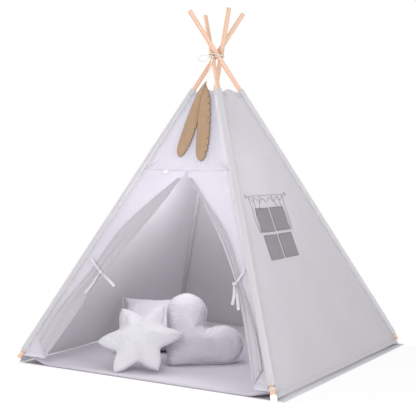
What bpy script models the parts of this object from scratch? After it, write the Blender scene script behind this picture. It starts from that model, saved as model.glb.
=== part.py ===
# Kids' play teepee: four wooden poles lashed where they cross, a cotton cover with a door and a window,
# a padded floor mat, three cushions and two feather pendants. Metres, +Z up, the door faces -Y.
# The origin is on the floor, in the middle of the four feet.
import math

import bmesh
import bpy
from mathutils import Matrix, Vector

# Frame: four poles, each passing the crossing a little to one side of the middle
FOOT_SPAN = 1.100
CROSSING_HEIGHT = 1.163
CROSSING_OFFSET = 0.0173
POLE_DIAMETER = 0.018
POLE_ABOVE_CROSSING = 0.201
POLE_TIP_ROUNDING = 0.004
FIT_GAP = 0.0003

# Rubber foot caps
CAP_WALL = 0.0015
CAP_LENGTH = 0.017
CAP_LIP_ROUNDING = 0.0008
CAP_WORN_DEPTH = 0.0005

# Cloth sleeves that the poles run in
SLEEVE_DIAMETER = 0.028
SLEEVE_BOTTOM_HEIGHT = 0.050
SLEEVE_TOP_DROP = 0.133
SLEEVE_HEM = 0.006

# Cover panels
CLOTH = 0.0016
HEM_HEIGHT = 0.018
FRONT_HEM_HEIGHT = 0.034
NECK_DROP = 0.146
NECK_RISE = 0.015
PANEL_SAG = 0.010
PANEL_RIPPLE = 0.0035
PANEL_RIPPLE_COUNT = 2.5
YOKE_DEPTH = 0.287

# Door: heights run from the apex down to the hem, and each edge has one place across the front for each height
DOOR_APEX_DROP = 0.022
DOOR_FOOT_HEIGHT = 0.040
DOOR_FOOT_INSET_LEFT = 0.117
DOOR_FOOT_INSET_RIGHT = 0.066
DOOR_HEIGHT_SHARES = (1.0, 0.87, 0.69, 0.457, 0.225, 0.0)
DOOR_EDGE_LEFT_SHARES = (0.02, 0.150, 0.353, 0.623, 0.797, 1.0)
DOOR_EDGE_RIGHT_SHARES = (0.02, 0.213, 0.447, 0.688, 0.856, 1.0)
CURTAIN_HEM_LEFT_SHARES = (0.05, 0.285, 0.556, 0.768, 1.010, 1.165)
CURTAIN_HEM_RIGHT_SHARES = (0.05, 0.245, 0.520, 0.742, 0.945, 1.090)
CURTAIN_FULLNESS = 0.009
CURTAIN_LEAST = 0.0022
CURTAIN_PLEATS = 2.5
CURTAIN_CREST_SHARE = 0.4
CURTAIN_TOP_SHARE = 0.985
CURTAIN_TIE_PINCH = 0.45
CURTAIN_FOOT_RISE = 0.050
TIE_HEIGHT = 0.345

# Ribbon ties
RIBBON_WIDTH = 0.008
RIBBON_THICKNESS = 0.0010
RIBBON_RUN = 0.045
BAND_START_SHARE = 1.15
BAND_END_SHARE = 0.08
BAND_REACH_SHARE = 0.12
KNOT_RADIUS = 0.0065
TAIL_LENGTH = 0.085
TAIL_FORWARD_SHARE = 0.15
TAIL_LAYER_GAP = 0.0024
TAIL_SHARES = {"left": ((-0.35, 0.80), (0.98, 0.45)), "right": ((0.20, 0.68), (0.50, 0.86))}

# Window patches and label on the cover
WINDOW_TOP_HEIGHT = 0.591
WINDOW_BOTTOM_HEIGHT = 0.412
WINDOW_FRONT_Y = -0.176
WINDOW_BACK_Y = 0.036
WINDOW_LEAN_Y = 0.030
WINDOW_BAR = 0.011
PATCH_THICKNESS = 0.0008
PATCH_STANDOFF = 0.0007
LABEL_WIDTH = 0.024
LABEL_DROP = 0.014
LABEL_X = -0.094
LABEL_STANDOFF = 0.0006

# Lashing cord
LASHING_DIAMETER = 0.0030
LASHING_PITCH = 0.0037
LASHING_TURNS = 4
LASHING_CLEARANCE = 0.0015
LASHING_STEPS = 24
BOW_REACH = 0.048
BOW_DROP = 0.016

# Feather pendants
FEATHER_LENGTH = 0.318
FEATHER_WIDTH = 0.056
FEATHER_THICKNESS = 0.0026
QUILL_SHARE = 0.045
FEATHER_STANDOFF = 0.0042
FEATHER_LAYER_GAP = 0.0005
FEATHER_DROP_LEFT = 0.103
FEATHER_DROP_RIGHT = 0.123
FEATHER_ASIDE = 0.006
FEATHER_LEAN_LEFT = math.radians(-5.5)
FEATHER_LEAN_RIGHT = math.radians(11.0)
STRING_DIAMETER = 0.0020
HANGER_RADIUS = 0.0035

# Floor mat
MAT_INSET = 0.045
MAT_THICKNESS = 0.011
MAT_CORNER_RADIUS = 0.030
MAT_EDGE_ROUNDING = 0.004
MAT_CORNER_LIFT = 0.022
MAT_LIFT_REACH = 0.095
LOOP_DIAMETER = 0.003
LOOP_HEIGHT = 0.040

# Cushions
CUSHION_SEAM = 0.0018
CROWN_FLATNESS = 2.8
CROWN_EDGE = 0.58
TIP_THINNING = 0.22
STAR_RADIUS = 0.158
STAR_VALLEY_RADIUS = 0.100
STAR_ROUNDING = 0.45
STAR_HALF_HEIGHT = 0.043
STAR_PLACE = (-0.088, -0.392)
STAR_LEAN = math.radians(43.0)
STAR_TURN = math.radians(15.6)
STAR_ROLL = math.radians(8.8)
HEART_ARM = 0.150
HEART_REACH = 0.280
HEART_NOTCH_ROUNDING = 0.012
HEART_TIP_ROUNDING = 0.022
HEART_HALF_HEIGHT = 0.056
HEART_CENTRE_SHARE = 0.62
HEART_PLACE = (0.030, -0.224)
HEART_LEAN = math.radians(30.0)
HEART_TURN = math.radians(38.0)
HEART_ROLL = math.radians(0.0)
SQUARE_SIDE = 0.300
SQUARE_DRAWN_IN = 0.012
SQUARE_HALF_HEIGHT = 0.048
SQUARE_PLACE = (-0.242, -0.070)
SQUARE_LEAN = math.radians(55.0)
SQUARE_TURN = math.radians(27.0)

CORNERS = {
    "front_left": (-1, -1),
    "front_right": (1, -1),
    "back_right": (1, 1),
    "back_left": (-1, 1),
}
PI = math.pi
POLE_RADIUS = POLE_DIAMETER / 2
CAP_RADIUS = POLE_RADIUS + FIT_GAP + CAP_WALL
SLEEVE_RADIUS = SLEEVE_DIAMETER / 2
UP = Vector((0, 0, 1))
SLEEVE_TOP_HEIGHT = CROSSING_HEIGHT - SLEEVE_TOP_DROP
NECK_SIDE_HEIGHT = CROSSING_HEIGHT - NECK_DROP
YOKE_SEAM_HEIGHT = NECK_SIDE_HEIGHT - YOKE_DEPTH
DOOR_APEX_HEIGHT = YOKE_SEAM_HEIGHT - DOOR_APEX_DROP
MAT_SIDE = FOOT_SPAN - 2 * MAT_INSET


def clear_scene():
    for obj in list(bpy.data.objects):
        bpy.data.objects.remove(obj, do_unlink=True)


def material(name, colour, roughness, metallic=0.0):
    mat = bpy.data.materials.get(name)
    if mat is None:
        mat = bpy.data.materials.new(name)
        mat.use_nodes = True
        shader = mat.node_tree.nodes["Principled BSDF"]
        shader.inputs["Base Color"].default_value = (*colour, 1.0)
        shader.inputs["Roughness"].default_value = roughness
        shader.inputs["Metallic"].default_value = metallic
    return mat


def cotton():
    return material("cotton", (0.62, 0.60, 0.64), 0.9)


def wood():
    return material("pine", (0.80, 0.62, 0.50), 0.6)


def add_object(name, bm, mat, matrix=None, parent=None):
    # The mesh is in the frame that matrix places, and faces are turned outwards
    bmesh.ops.recalc_face_normals(bm, faces=bm.faces)
    mesh = bpy.data.meshes.new(name)
    bm.to_mesh(mesh)
    bm.free()
    mesh.materials.append(mat)
    mesh.shade_smooth()
    mesh.set_sharp_from_angle(angle=math.radians(50))
    obj = bpy.data.objects.new(name, mesh)
    bpy.context.scene.collection.objects.link(obj)
    if parent is not None:
        obj.parent = parent
    if matrix is not None:
        obj.matrix_world = matrix
    return obj


def add_empty(name, matrix):
    empty = bpy.data.objects.new(name, None)
    bpy.context.scene.collection.objects.link(empty)
    empty.matrix_world = matrix
    return empty


def smooth_step(value):
    value = min(max(value, 0.0), 1.0)
    return value * value * (3 - 2 * value)


def between(table, keys, key):
    # Smooth reading between the entries of a table, whose keys fall from first to last
    if key >= keys[0]:
        return table[0]
    if key <= keys[-1]:
        return table[-1]
    index = next(i for i in range(len(keys) - 1) if key >= keys[i + 1])
    before, after = max(index - 1, 0), min(index + 2, len(keys) - 1)
    span = keys[index + 1] - keys[index]
    part = (key - keys[index]) / span
    rise_in = (table[index + 1] - table[before]) / (keys[index + 1] - keys[before]) * span
    rise_out = (table[after] - table[index]) / (keys[after] - keys[index]) * span
    square, cube = part * part, part * part * part
    return (
        table[index] * (2 * cube - 3 * square + 1)
        + rise_in * (cube - 2 * square + part)
        + table[index + 1] * (3 * square - 2 * cube)
        + rise_out * (cube - square)
    )


def turned(name, profile, steps, mat, matrix, parent, floor_cut=False):
    # A turned solid about local Z. The profile is (radius, place) pairs, and a zero radius is a point on the axis
    bm = bmesh.new()
    rings = []
    for radius, place in profile:
        if radius == 0:
            rings.append([bm.verts.new((0, 0, place))])
        else:
            rings.append(
                [
                    bm.verts.new(
                        (
                            radius * math.cos(2 * PI * i / steps),
                            radius * math.sin(2 * PI * i / steps),
                            place,
                        )
                    )
                    for i in range(steps)
                ]
            )
    closed = profile[0][0] != 0
    pairs = list(zip(rings, rings[1:])) + ([(rings[-1], rings[0])] if closed else [])
    for ring, following in pairs:
        for i in range(steps):
            j = (i + 1) % steps
            if len(ring) == 1:
                bm.faces.new((ring[0], following[i], following[j]))
            elif len(following) == 1:
                bm.faces.new((ring[i], ring[j], following[0]))
            else:
                bm.faces.new((ring[i], ring[j], following[j], following[i]))
    if floor_cut:
        inverse = matrix.inverted()
        cut = bmesh.ops.bisect_plane(
            bm,
            geom=bm.verts[:] + bm.edges[:] + bm.faces[:],
            dist=FIT_GAP / 100,
            plane_co=inverse @ Vector((0, 0, 0)),
            plane_no=inverse.to_3x3() @ UP,
            clear_inner=True,
        )
        rim = [e for e in cut["geom_cut"] if isinstance(e, bmesh.types.BMEdge)]
        bmesh.ops.holes_fill(bm, edges=rim)
    return add_object(name, bm, mat, matrix, parent)


def add_grid_solid(bm, outer, inner):
    # Two grids of points, one on each side of a sheet, become one closed solid
    rows, columns = len(outer), len(outer[0])
    top = [[bm.verts.new(p) for p in row] for row in outer]
    low = [[bm.verts.new(p) for p in row] for row in inner]
    for i in range(rows - 1):
        for j in range(columns - 1):
            bm.faces.new((top[i][j], top[i][j + 1], top[i + 1][j + 1], top[i + 1][j]))
            bm.faces.new((low[i][j], low[i + 1][j], low[i + 1][j + 1], low[i][j + 1]))
    for j in range(columns - 1):
        bm.faces.new((top[0][j], low[0][j], low[0][j + 1], top[0][j + 1]))
        bm.faces.new((top[-1][j + 1], low[-1][j + 1], low[-1][j], top[-1][j]))
    for i in range(rows - 1):
        bm.faces.new((top[i][0], top[i + 1][0], low[i + 1][0], low[i][0]))
        bm.faces.new((top[i][-1], low[i][-1], low[i + 1][-1], top[i + 1][-1]))


def sheet(name, grid, mat, thickness):
    # A sheet of even thickness about a grid of points
    bm = bmesh.new()
    add_sheet(bm, grid, thickness)
    return add_object(name, bm, mat)


def add_sheet(bm, grid, thickness):
    rows, columns = len(grid), len(grid[0])
    outer, inner = [], []
    for i in range(rows):
        outer.append([])
        inner.append([])
        for j in range(columns):
            along = grid[min(i + 1, rows - 1)][j] - grid[max(i - 1, 0)][j]
            across = grid[i][min(j + 1, columns - 1)] - grid[i][max(j - 1, 0)]
            normal = across.cross(along).normalized()
            outer[-1].append(grid[i][j] + normal * (thickness / 2))
            inner[-1].append(grid[i][j] - normal * (thickness / 2))
    add_grid_solid(bm, outer, inner)


def tube(name, points, diameter, mat, resolution=2, parent=None):
    curve = bpy.data.curves.new(name, "CURVE")
    curve.dimensions = "3D"
    curve.bevel_depth = diameter / 2
    curve.bevel_resolution = resolution
    curve.use_fill_caps = True
    spline = curve.splines.new("POLY")
    spline.points.add(len(points) - 1)
    for point, place in zip(spline.points, points):
        point.co = (*place, 1)
    curve.materials.append(mat)
    obj = bpy.data.objects.new(name, curve)
    bpy.context.scene.collection.objects.link(obj)
    obj.parent = parent
    return obj


def smooth_route(points, steps):
    # Points read from one smooth curve through a route's own points
    route = [Vector(p) for p in points]
    ends = [2 * route[0] - route[1]] + route + [2 * route[-1] - route[-2]]
    result = []
    for a, b, c, d in zip(ends, ends[1:], ends[2:], ends[3:]):
        for k in range(steps):
            t = k / steps
            result.append(
                0.5
                * (
                    2 * b
                    + (c - a) * t
                    + (2 * a - 5 * b + 4 * c - d) * t * t
                    + (3 * b - a - 3 * c + d) * t * t * t
                )
            )
    return result + [route[-1]]


# Poles

def foot(corner):
    x, y = CORNERS[corner]
    return Vector((x * FOOT_SPAN / 2, y * FOOT_SPAN / 2, 0))


def crossing(corner):
    # Each pole passes the middle on its clockwise side, seen from above
    x, y = CORNERS[corner]
    offset = CROSSING_OFFSET / math.sqrt(2)
    return Vector((y * offset, -x * offset, CROSSING_HEIGHT))


def pole_point(corner, height):
    start = foot(corner)
    return start + (crossing(corner) - start) * (height / CROSSING_HEIGHT)


def pole_frame(corner):
    # Local Z runs up the pole, local Y is the hinge axis, and the origin is at the crossing
    centre = crossing(corner)
    rise = (centre - foot(corner)).normalized()
    outwards = foot(corner) - centre
    outwards.z = 0
    hinge = UP.cross(outwards.normalized())
    side = hinge.cross(rise)
    rotation = Matrix((side, hinge, rise)).transposed().to_4x4()
    return Matrix.Translation(centre) @ rotation


def along_pole(corner, height):
    # How far along the pole from the crossing a height lies, negative below it
    whole = (crossing(corner) - foot(corner)).length
    return (height - CROSSING_HEIGHT) * whole / CROSSING_HEIGHT


def build_pole(corner):
    frame = pole_frame(corner)
    hinge = add_empty("hinge_" + corner, frame)
    low = along_pole(corner, CAP_RADIUS - CAP_WORN_DEPTH)
    rounding = POLE_TIP_ROUNDING
    profile = [(0, low + FIT_GAP), (POLE_RADIUS, low + FIT_GAP)]
    profile += [(POLE_RADIUS, POLE_ABOVE_CROSSING - rounding)]
    profile += [
        (
            POLE_RADIUS - rounding + rounding * math.cos(PI / 2 * k / 3),
            POLE_ABOVE_CROSSING - rounding + rounding * math.sin(PI / 2 * k / 3),
        )
        for k in (1, 2, 3)
    ]
    profile += [(0, POLE_ABOVE_CROSSING)]
    turned("pole_" + corner, profile, 20, wood(), frame, hinge)
    build_cap(corner, frame, hinge, low)
    build_sleeve(corner, frame, hinge)


def build_cap(corner, frame, hinge, low):
    rubber = material("white_rubber", (0.88, 0.88, 0.89), 0.5)
    bore = POLE_RADIUS + FIT_GAP
    dome = [
        (CAP_RADIUS * math.sin(PI / 2 * k / 5), low - CAP_RADIUS * math.cos(PI / 2 * k / 5))
        for k in range(6)
    ]
    dome[0] = (0, low - CAP_RADIUS)
    top = low + CAP_LENGTH
    profile = dome + [
        (CAP_RADIUS, top - CAP_LIP_ROUNDING),
        (CAP_RADIUS - CAP_LIP_ROUNDING, top),
        (bore, top),
        (bore, low),
        (0, low),
    ]
    turned("foot_cap_" + corner, profile, 16, rubber, frame, hinge, floor_cut=True)


def build_sleeve(corner, frame, hinge):
    bore = POLE_RADIUS + FIT_GAP
    low, high = along_pole(corner, SLEEVE_BOTTOM_HEIGHT), along_pole(corner, SLEEVE_TOP_HEIGHT)
    mouth = bore + (SLEEVE_RADIUS - bore) / 2
    profile = [
        (bore, low),
        (mouth, low),
        (SLEEVE_RADIUS, low + SLEEVE_HEM),
        (SLEEVE_RADIUS, (low + high) / 2),
        (SLEEVE_RADIUS, high - SLEEVE_HEM),
        (mouth, high),
        (bore, high),
    ]
    turned("sleeve_" + corner, profile, 20, cotton(), frame, hinge)


# Cover panels

def face_normal(first, second):
    run = foot(second) - foot(first)
    rise = crossing(first) + crossing(second) - foot(first) - foot(second)
    return run.cross(rise).normalized()


def sleeve_inset(corner, other, height):
    # Level distance from a pole's axis at which cloth of this panel clears the sleeve
    run = (pole_point(other, height) - pole_point(corner, height)).normalized()
    rise = (crossing(corner) - foot(corner)).normalized()
    return (SLEEVE_RADIUS + FIT_GAP) / math.sqrt(1 - run.dot(rise) ** 2)


def face_point(first, second, place, height, outwards=0.0):
    # place is the level distance from the first pole's axis
    start, end = pole_point(first, height), pole_point(second, height)
    return start + (end - start).normalized() * place + face_normal(first, second) * outwards


def face_width(first, second, height):
    return (pole_point(second, height) - pole_point(first, height)).length


def neck_height(share):
    return NECK_SIDE_HEIGHT + NECK_RISE * math.sin(PI * share)


def slack(share, height):
    # The cloth hangs a little inwards between the sleeves, with soft folds that fade upwards
    rise = height / NECK_SIDE_HEIGHT
    belly = math.sin(PI * share) * math.sin(PI * min(max(rise, 0), 1))
    ripple = math.sin(PI * share) * math.sin(2 * PI * PANEL_RIPPLE_COUNT * share)
    return -PANEL_SAG * belly + PANEL_RIPPLE * ripple * max(1 - rise, 0)


def panel_point(first, second, share, height):
    start = sleeve_inset(first, second, height)
    end = face_width(first, second, height) - sleeve_inset(second, first, height)
    return face_point(first, second, start + share * (end - start), height, slack(share, height))


def build_panel(name, first, second, bottom, rows, columns):
    grid = []
    for i in range(rows + 1):
        row = []
        for j in range(columns + 1):
            share = j / columns
            height = bottom + (neck_height(share) - bottom) * i / rows
            row.append(panel_point(first, second, share, height))
        grid.append(row)
    sheet(name, grid, cotton(), CLOTH)


# Door: side is -1 on the left and 1 on the right, and x runs across the front

def door_height(share):
    return DOOR_FOOT_HEIGHT + (DOOR_APEX_HEIGHT - DOOR_FOOT_HEIGHT) * share


def across_front(side, shares, height):
    # A place read from one of the tables of shares, measured from the middle of the front
    inset = DOOR_FOOT_INSET_LEFT if side < 0 else DOOR_FOOT_INSET_RIGHT
    width = face_width("front_left", "front_right", DOOR_FOOT_HEIGHT) / 2 - inset
    heights = [door_height(s) for s in DOOR_HEIGHT_SHARES]
    return between(shares, heights, height) * width


def door_edge(side, height):
    shares = DOOR_EDGE_LEFT_SHARES if side < 0 else DOOR_EDGE_RIGHT_SHARES
    return across_front(side, shares, height)


def front_reach(side, height):
    # From the middle of the front to the cloth's seam with the sleeve on one side
    corner, other = ("front_left", "front_right") if side < 0 else ("front_right", "front_left")
    return face_width(corner, other, height) / 2 - sleeve_inset(corner, other, height)


def curtain_hem(side, height):
    shares = CURTAIN_HEM_LEFT_SHARES if side < 0 else CURTAIN_HEM_RIGHT_SHARES
    return min(across_front(side, shares, height), front_reach(side, height) - CLOTH)


def front_point(x, height, outwards=0.0):
    # A point on the front by its place across it, measured from the middle
    half = face_width("front_left", "front_right", height) / 2
    return face_point("front_left", "front_right", half + x, height, outwards)


def front_slack(x, height):
    left, right = front_reach(-1, height), front_reach(1, height)
    return slack(min(max((x + left) / (left + right), 0), 1), height)


def build_front_half(name, side):
    rows, columns = 14, 6
    top = YOKE_SEAM_HEIGHT - FIT_GAP
    grid = []
    for i in range(rows + 1):
        height = FRONT_HEM_HEIGHT + (top - FRONT_HEM_HEIGHT) * i / rows
        outer = front_reach(side, height)
        inner = door_edge(side, height)
        row = []
        for j in range(columns + 1):
            x = side * (outer + (inner - outer) * j / columns)
            row.append(front_point(x, height, front_slack(x, height)))
        grid.append(row if side < 0 else row[::-1])
    sheet(name, grid, cotton(), CLOTH)


def curtain_front(share, height, crest_only=False):
    # How far the gathered curtain stands out from the middle of the cloth behind it
    near_tie = math.exp(-(((height - TIE_HEIGHT) / RIBBON_RUN) ** 2))
    pinch = 1 - CURTAIN_TIE_PINCH * near_tie
    rise = smooth_step((DOOR_APEX_HEIGHT - height) / (DOOR_APEX_HEIGHT - TIE_HEIGHT))
    pleat = 1.0 if crest_only else abs(math.sin(PI * CURTAIN_PLEATS * share))
    round_off = math.sin(PI * min(max(share, 0), 1)) ** 0.5
    crest = 1 - CURTAIN_CREST_SHARE * (1 - pleat)
    full = CURTAIN_LEAST + CURTAIN_FULLNESS * pinch * rise * round_off * crest
    return CLOTH / 2 + FIT_GAP + full


def curtain_place(side, share, height):
    edge, hem = door_edge(side, height), curtain_hem(side, height)
    return side * (edge + (hem - edge) * share)


def build_curtain(name, side):
    rows, columns = 16, 8
    outer, inner = [], []
    top = door_height(CURTAIN_TOP_SHARE)
    for i in range(rows + 1):
        front_row, back_row = [], []
        for j in range(columns + 1):
            # The gathered cloth's foot rises towards its outer hem
            share = j / columns
            low = DOOR_FOOT_HEIGHT + CURTAIN_FOOT_RISE * share
            height = low + (top - low) * i / rows
            x = curtain_place(side, share, height)
            slope = front_slack(x, height)
            back = CLOTH / 2 + FIT_GAP + CLOTH / 2
            front_row.append(front_point(x, height, slope + curtain_front(share, height) + CLOTH / 4))
            back_row.append(front_point(x, height, slope + back))
        outer.append(front_row)
        inner.append(back_row)
    bm = bmesh.new()
    add_grid_solid(bm, outer, inner)
    return add_object(name, bm, cotton())


def add_strip(bm, points, width, across):
    # A flat ribbon through the points, with its width along the across directions
    rows = []
    for point, direction in zip(points, across):
        rows.append([point - direction * (width / 2), point + direction * (width / 2)])
    add_sheet(bm, rows, RIBBON_THICKNESS)


def add_knot(bm, centre, radius):
    made = bmesh.ops.create_icosphere(bm, subdivisions=2, radius=radius)
    bmesh.ops.translate(bm, verts=made["verts"], vec=centre)


def band_standoff(share, height):
    # The band lies over the crests of the pleats under its whole width
    steps = range(-4, 5)
    crest = max(
        curtain_front(share + BAND_REACH_SHARE * i / 4, height + RIBBON_WIDTH * k / 4, True)
        for i in steps
        for k in steps
    )
    return crest + CLOTH / 4 + RIBBON_THICKNESS / 2 + 2 * FIT_GAP


def build_tie(side, word):
    # The band runs from its seam on the cloth across the gathered curtain, and the knot hangs at the door edge
    ribbon = material("ribbon", (0.72, 0.70, 0.74), 0.8)
    bm = bmesh.new()
    points, across = [], []
    steps = 10
    hem, edge = curtain_hem(side, TIE_HEIGHT), door_edge(side, TIE_HEIGHT)
    for k in range(steps + 1):
        share = BAND_START_SHARE + (BAND_END_SHARE - BAND_START_SHARE) * k / steps
        height = TIE_HEIGHT + RIBBON_RUN * (share - BAND_END_SHARE)
        x = side * min(edge + (hem - edge) * share, front_reach(side, height) - RIBBON_WIDTH)
        out = band_standoff(share, height)
        points.append(front_point(x, height, front_slack(x, height) + out))
    for k in range(steps + 1):
        run = points[min(k + 1, steps)] - points[max(k - 1, 0)]
        across.append(run.cross(face_normal("front_left", "front_right")).normalized())
    add_strip(bm, points, RIBBON_WIDTH, across)
    add_object("tie_band_" + word, bm, ribbon)

    # The knot stands just clear of the curtain and the band's end rests against it
    run = (points[-1] - points[-2]).normalized()
    outwards = face_normal("front_left", "front_right")
    rise = KNOT_RADIUS - RIBBON_THICKNESS
    along = math.sqrt((KNOT_RADIUS + FIT_GAP) ** 2 - rise**2)
    knot = points[-1] + outwards * (rise + RIBBON_THICKNESS / 2) + run * along
    slope = FOOT_SPAN / 2 / CROSSING_HEIGHT
    bm = bmesh.new()
    add_knot(bm, knot, KNOT_RADIUS)
    add_object("tie_knot_" + word, bm, ribbon)
    for number, (swing_share, drop_share) in enumerate(TAIL_SHARES[word], start=1):
        heading = Vector((swing_share, -slope * drop_share, -drop_share))
        start = knot + heading.normalized() * (KNOT_RADIUS + FIT_GAP)
        start.y += (number - 1.5) * TAIL_LAYER_GAP
        start = knot + (start - knot).normalized() * (KNOT_RADIUS + 2 * FIT_GAP)
        tail, turns = [], []
        for k in range(5):
            part = k / 4
            curl = Vector((0, -TAIL_FORWARD_SHARE * part * part, 0))
            tail.append(start + (heading * part + curl) * TAIL_LENGTH)
            turns.append(heading.cross(outwards).normalized())
        bm = bmesh.new()
        add_strip(bm, tail, RIBBON_WIDTH, turns)
        add_object("tie_tail_%s_%d" % (word, number), bm, ribbon)


# Window and label

def side_point(y, height, outwards):
    # A point on the right panel by its place along the tent
    half = face_width("front_right", "back_right", height) / 2
    start = sleeve_inset("front_right", "back_right", height)
    end = 2 * half - sleeve_inset("back_right", "front_right", height)
    share = (half + y - start) / (end - start)
    return face_point("front_right", "back_right", half + y, height, outwards + slack(share, height))


def build_window():
    dark = material("window_cloth", (0.28, 0.26, 0.29), 0.9)
    out = CLOTH / 2 + PATCH_STANDOFF + PATCH_THICKNESS / 2
    middle_y = (WINDOW_FRONT_Y + WINDOW_BACK_Y) / 2
    middle_height = (WINDOW_TOP_HEIGHT + WINDOW_BOTTOM_HEIGHT) / 2
    half_bar = WINDOW_BAR / 2
    window_height = WINDOW_TOP_HEIGHT - WINDOW_BOTTOM_HEIGHT
    columns = {
        "front": (WINDOW_FRONT_Y, middle_y - half_bar),
        "back": (middle_y + half_bar, WINDOW_BACK_Y),
    }
    rows = {
        "lower": (WINDOW_BOTTOM_HEIGHT, middle_height - half_bar),
        "upper": (middle_height + half_bar, WINDOW_TOP_HEIGHT),
    }
    cells = 4
    for column, (low_y, high_y) in columns.items():
        for row, (low_z, high_z) in rows.items():
            grid = []
            for i in range(cells + 1):
                height = low_z + (high_z - low_z) * i / cells
                lean = WINDOW_LEAN_Y * (height - middle_height) / window_height
                places = [low_y + (high_y - low_y) * j / cells + lean for j in range(cells + 1)]
                grid.append([side_point(y, height, out) for y in places])
            sheet("window_pane_%s_%s" % (row, column), grid, dark, PATCH_THICKNESS)


def build_label():
    tag = material("label", (0.80, 0.78, 0.80), 0.8)
    top = YOKE_SEAM_HEIGHT - CLOTH
    grid = []
    for i in range(3):
        height = top - LABEL_DROP * (1 - i / 2)
        row = []
        for j in range(3):
            x = LABEL_X + LABEL_WIDTH * (j / 2 - 0.5)
            row.append(front_point(x, height, front_slack(x, height) + CLOTH + LABEL_STANDOFF))
        grid.append(row)
    sheet("label_tag", grid, tag, PATCH_THICKNESS)


# Lashing

def bundle_reach(angle, height):
    # Farthest edge of the four poles in one direction, at one height
    direction = Vector((math.cos(angle), math.sin(angle), 0))
    reach = 0.0
    for corner in CORNERS:
        rise = (crossing(corner) - foot(corner)).normalized()
        stretch = rise.x * direction.x + rise.y * direction.y
        oval = POLE_RADIUS * math.sqrt(1 + (stretch / rise.z) ** 2)
        reach = max(reach, pole_point(corner, height).dot(direction) + oval)
    return reach


def wrap_radius(angle, height):
    # Distance from the middle to a taut wrap round the poles, in one direction
    offset = LASHING_DIAMETER / 2 + LASHING_CLEARANCE
    spread = [PI * (k - 14) / 36 for k in range(29)]
    return min((bundle_reach(angle + s, height) + offset) / math.cos(s) for s in spread)


def least_gap(points, skip):
    # Smallest clear distance between turns, measured on the points of the route
    least = None
    for i, first in enumerate(points):
        for second in points[i + skip :]:
            distance = (first - second).length - LASHING_DIAMETER
            least = distance if least is None else min(least, distance)
    return least


def build_lashing():
    cord = material("cord", (0.84, 0.82, 0.80), 0.9)
    count = LASHING_TURNS * LASHING_STEPS
    points = []
    for k in range(count + 1):
        angle = 2 * PI * k / LASHING_STEPS
        height = CROSSING_HEIGHT + LASHING_PITCH * (k / LASHING_STEPS - LASHING_TURNS / 2)
        radius = wrap_radius(angle, height)
        points.append(Vector((radius * math.cos(angle), radius * math.sin(angle), height)))
    print("least gap between lashing turns, mm:", round(1000 * least_gap(points, LASHING_STEPS // 2), 2))
    tube("lashing_cord", points, LASHING_DIAMETER, cord, resolution=1)
    build_lashing_bow(cord)


def build_lashing_bow(cord):
    # Two loops and two ends of the cord, tied off on the left of the crossing
    start = wrap_radius(PI, CROSSING_HEIGHT) + LASHING_DIAMETER + FIT_GAP
    bm = bmesh.new()
    add_knot(bm, Vector((-start - LASHING_DIAMETER / 2, 0, CROSSING_HEIGHT)), LASHING_DIAMETER)
    add_object("lashing_knot", bm, cord)
    aside = 0.6 * LASHING_DIAMETER
    near = start + 1.3 * LASHING_DIAMETER + 2 * FIT_GAP
    loop = [
        (-near, -aside, CROSSING_HEIGHT),
        (-near - 0.45 * BOW_REACH, -0.25 * BOW_REACH, CROSSING_HEIGHT + 0.25 * BOW_DROP),
        (-near - 0.95 * BOW_REACH, -0.15 * BOW_REACH, CROSSING_HEIGHT - 0.35 * BOW_DROP),
        (-near - 0.90 * BOW_REACH, 0.12 * BOW_REACH, CROSSING_HEIGHT - BOW_DROP),
        (-near - 0.45 * BOW_REACH, 0.20 * BOW_REACH, CROSSING_HEIGHT - BOW_DROP),
        (-near, aside, CROSSING_HEIGHT - aside / 2),
    ]
    tube("lashing_loop", smooth_route(loop, 5), LASHING_DIAMETER, cord, resolution=1)


# Feather pendants

def feather_outline(length, width):
    # A vane as (place along the quill, reach to the side) shares, notched on one side as a real vane splits
    left_shares = (
        (0.04, 0.12), (0.10, 0.27), (0.18, 0.38), (0.30, 0.45), (0.48, 0.49), (0.68, 0.50),
        (0.84, 0.48), (0.92, 0.42), (0.97, 0.29), (1.0, 0.10),
    )
    right_shares = (
        (0.99, 0.10), (0.95, 0.26), (0.89, 0.39), (0.82, 0.46), (0.805, 0.36), (0.79, 0.47), (0.64, 0.50),
        (0.625, 0.39), (0.61, 0.50), (0.44, 0.47), (0.425, 0.36), (0.41, 0.46), (0.26, 0.40),
        (0.245, 0.28), (0.23, 0.38), (0.11, 0.25), (0.04, 0.12),
    )
    outline = [(-QUILL_SHARE, 0.0)]
    outline += [(-reach, place) for place, reach in left_shares]
    outline += [(reach, place) for place, reach in right_shares]
    outline += [(QUILL_SHARE, 0.0)]
    return [(x * width, -y * length) for x, y in outline]


def feather_frame(x, top_height, layer, lean):
    # The origin is at the feather's top, local X across the front and local Z up it, and -Y is outwards
    normal = face_normal("front_left", "front_right")
    across = Vector((1, 0, 0))
    rise = across.cross(-normal)
    out = FEATHER_STANDOFF + layer * (FEATHER_THICKNESS + FEATHER_LAYER_GAP)
    origin = front_point(x, top_height, out)
    rotation = Matrix((across, -normal, rise)).transposed().to_4x4()
    return Matrix.Translation(origin) @ rotation @ Matrix.Rotation(lean, 4, (0, -1, 0))


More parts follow.
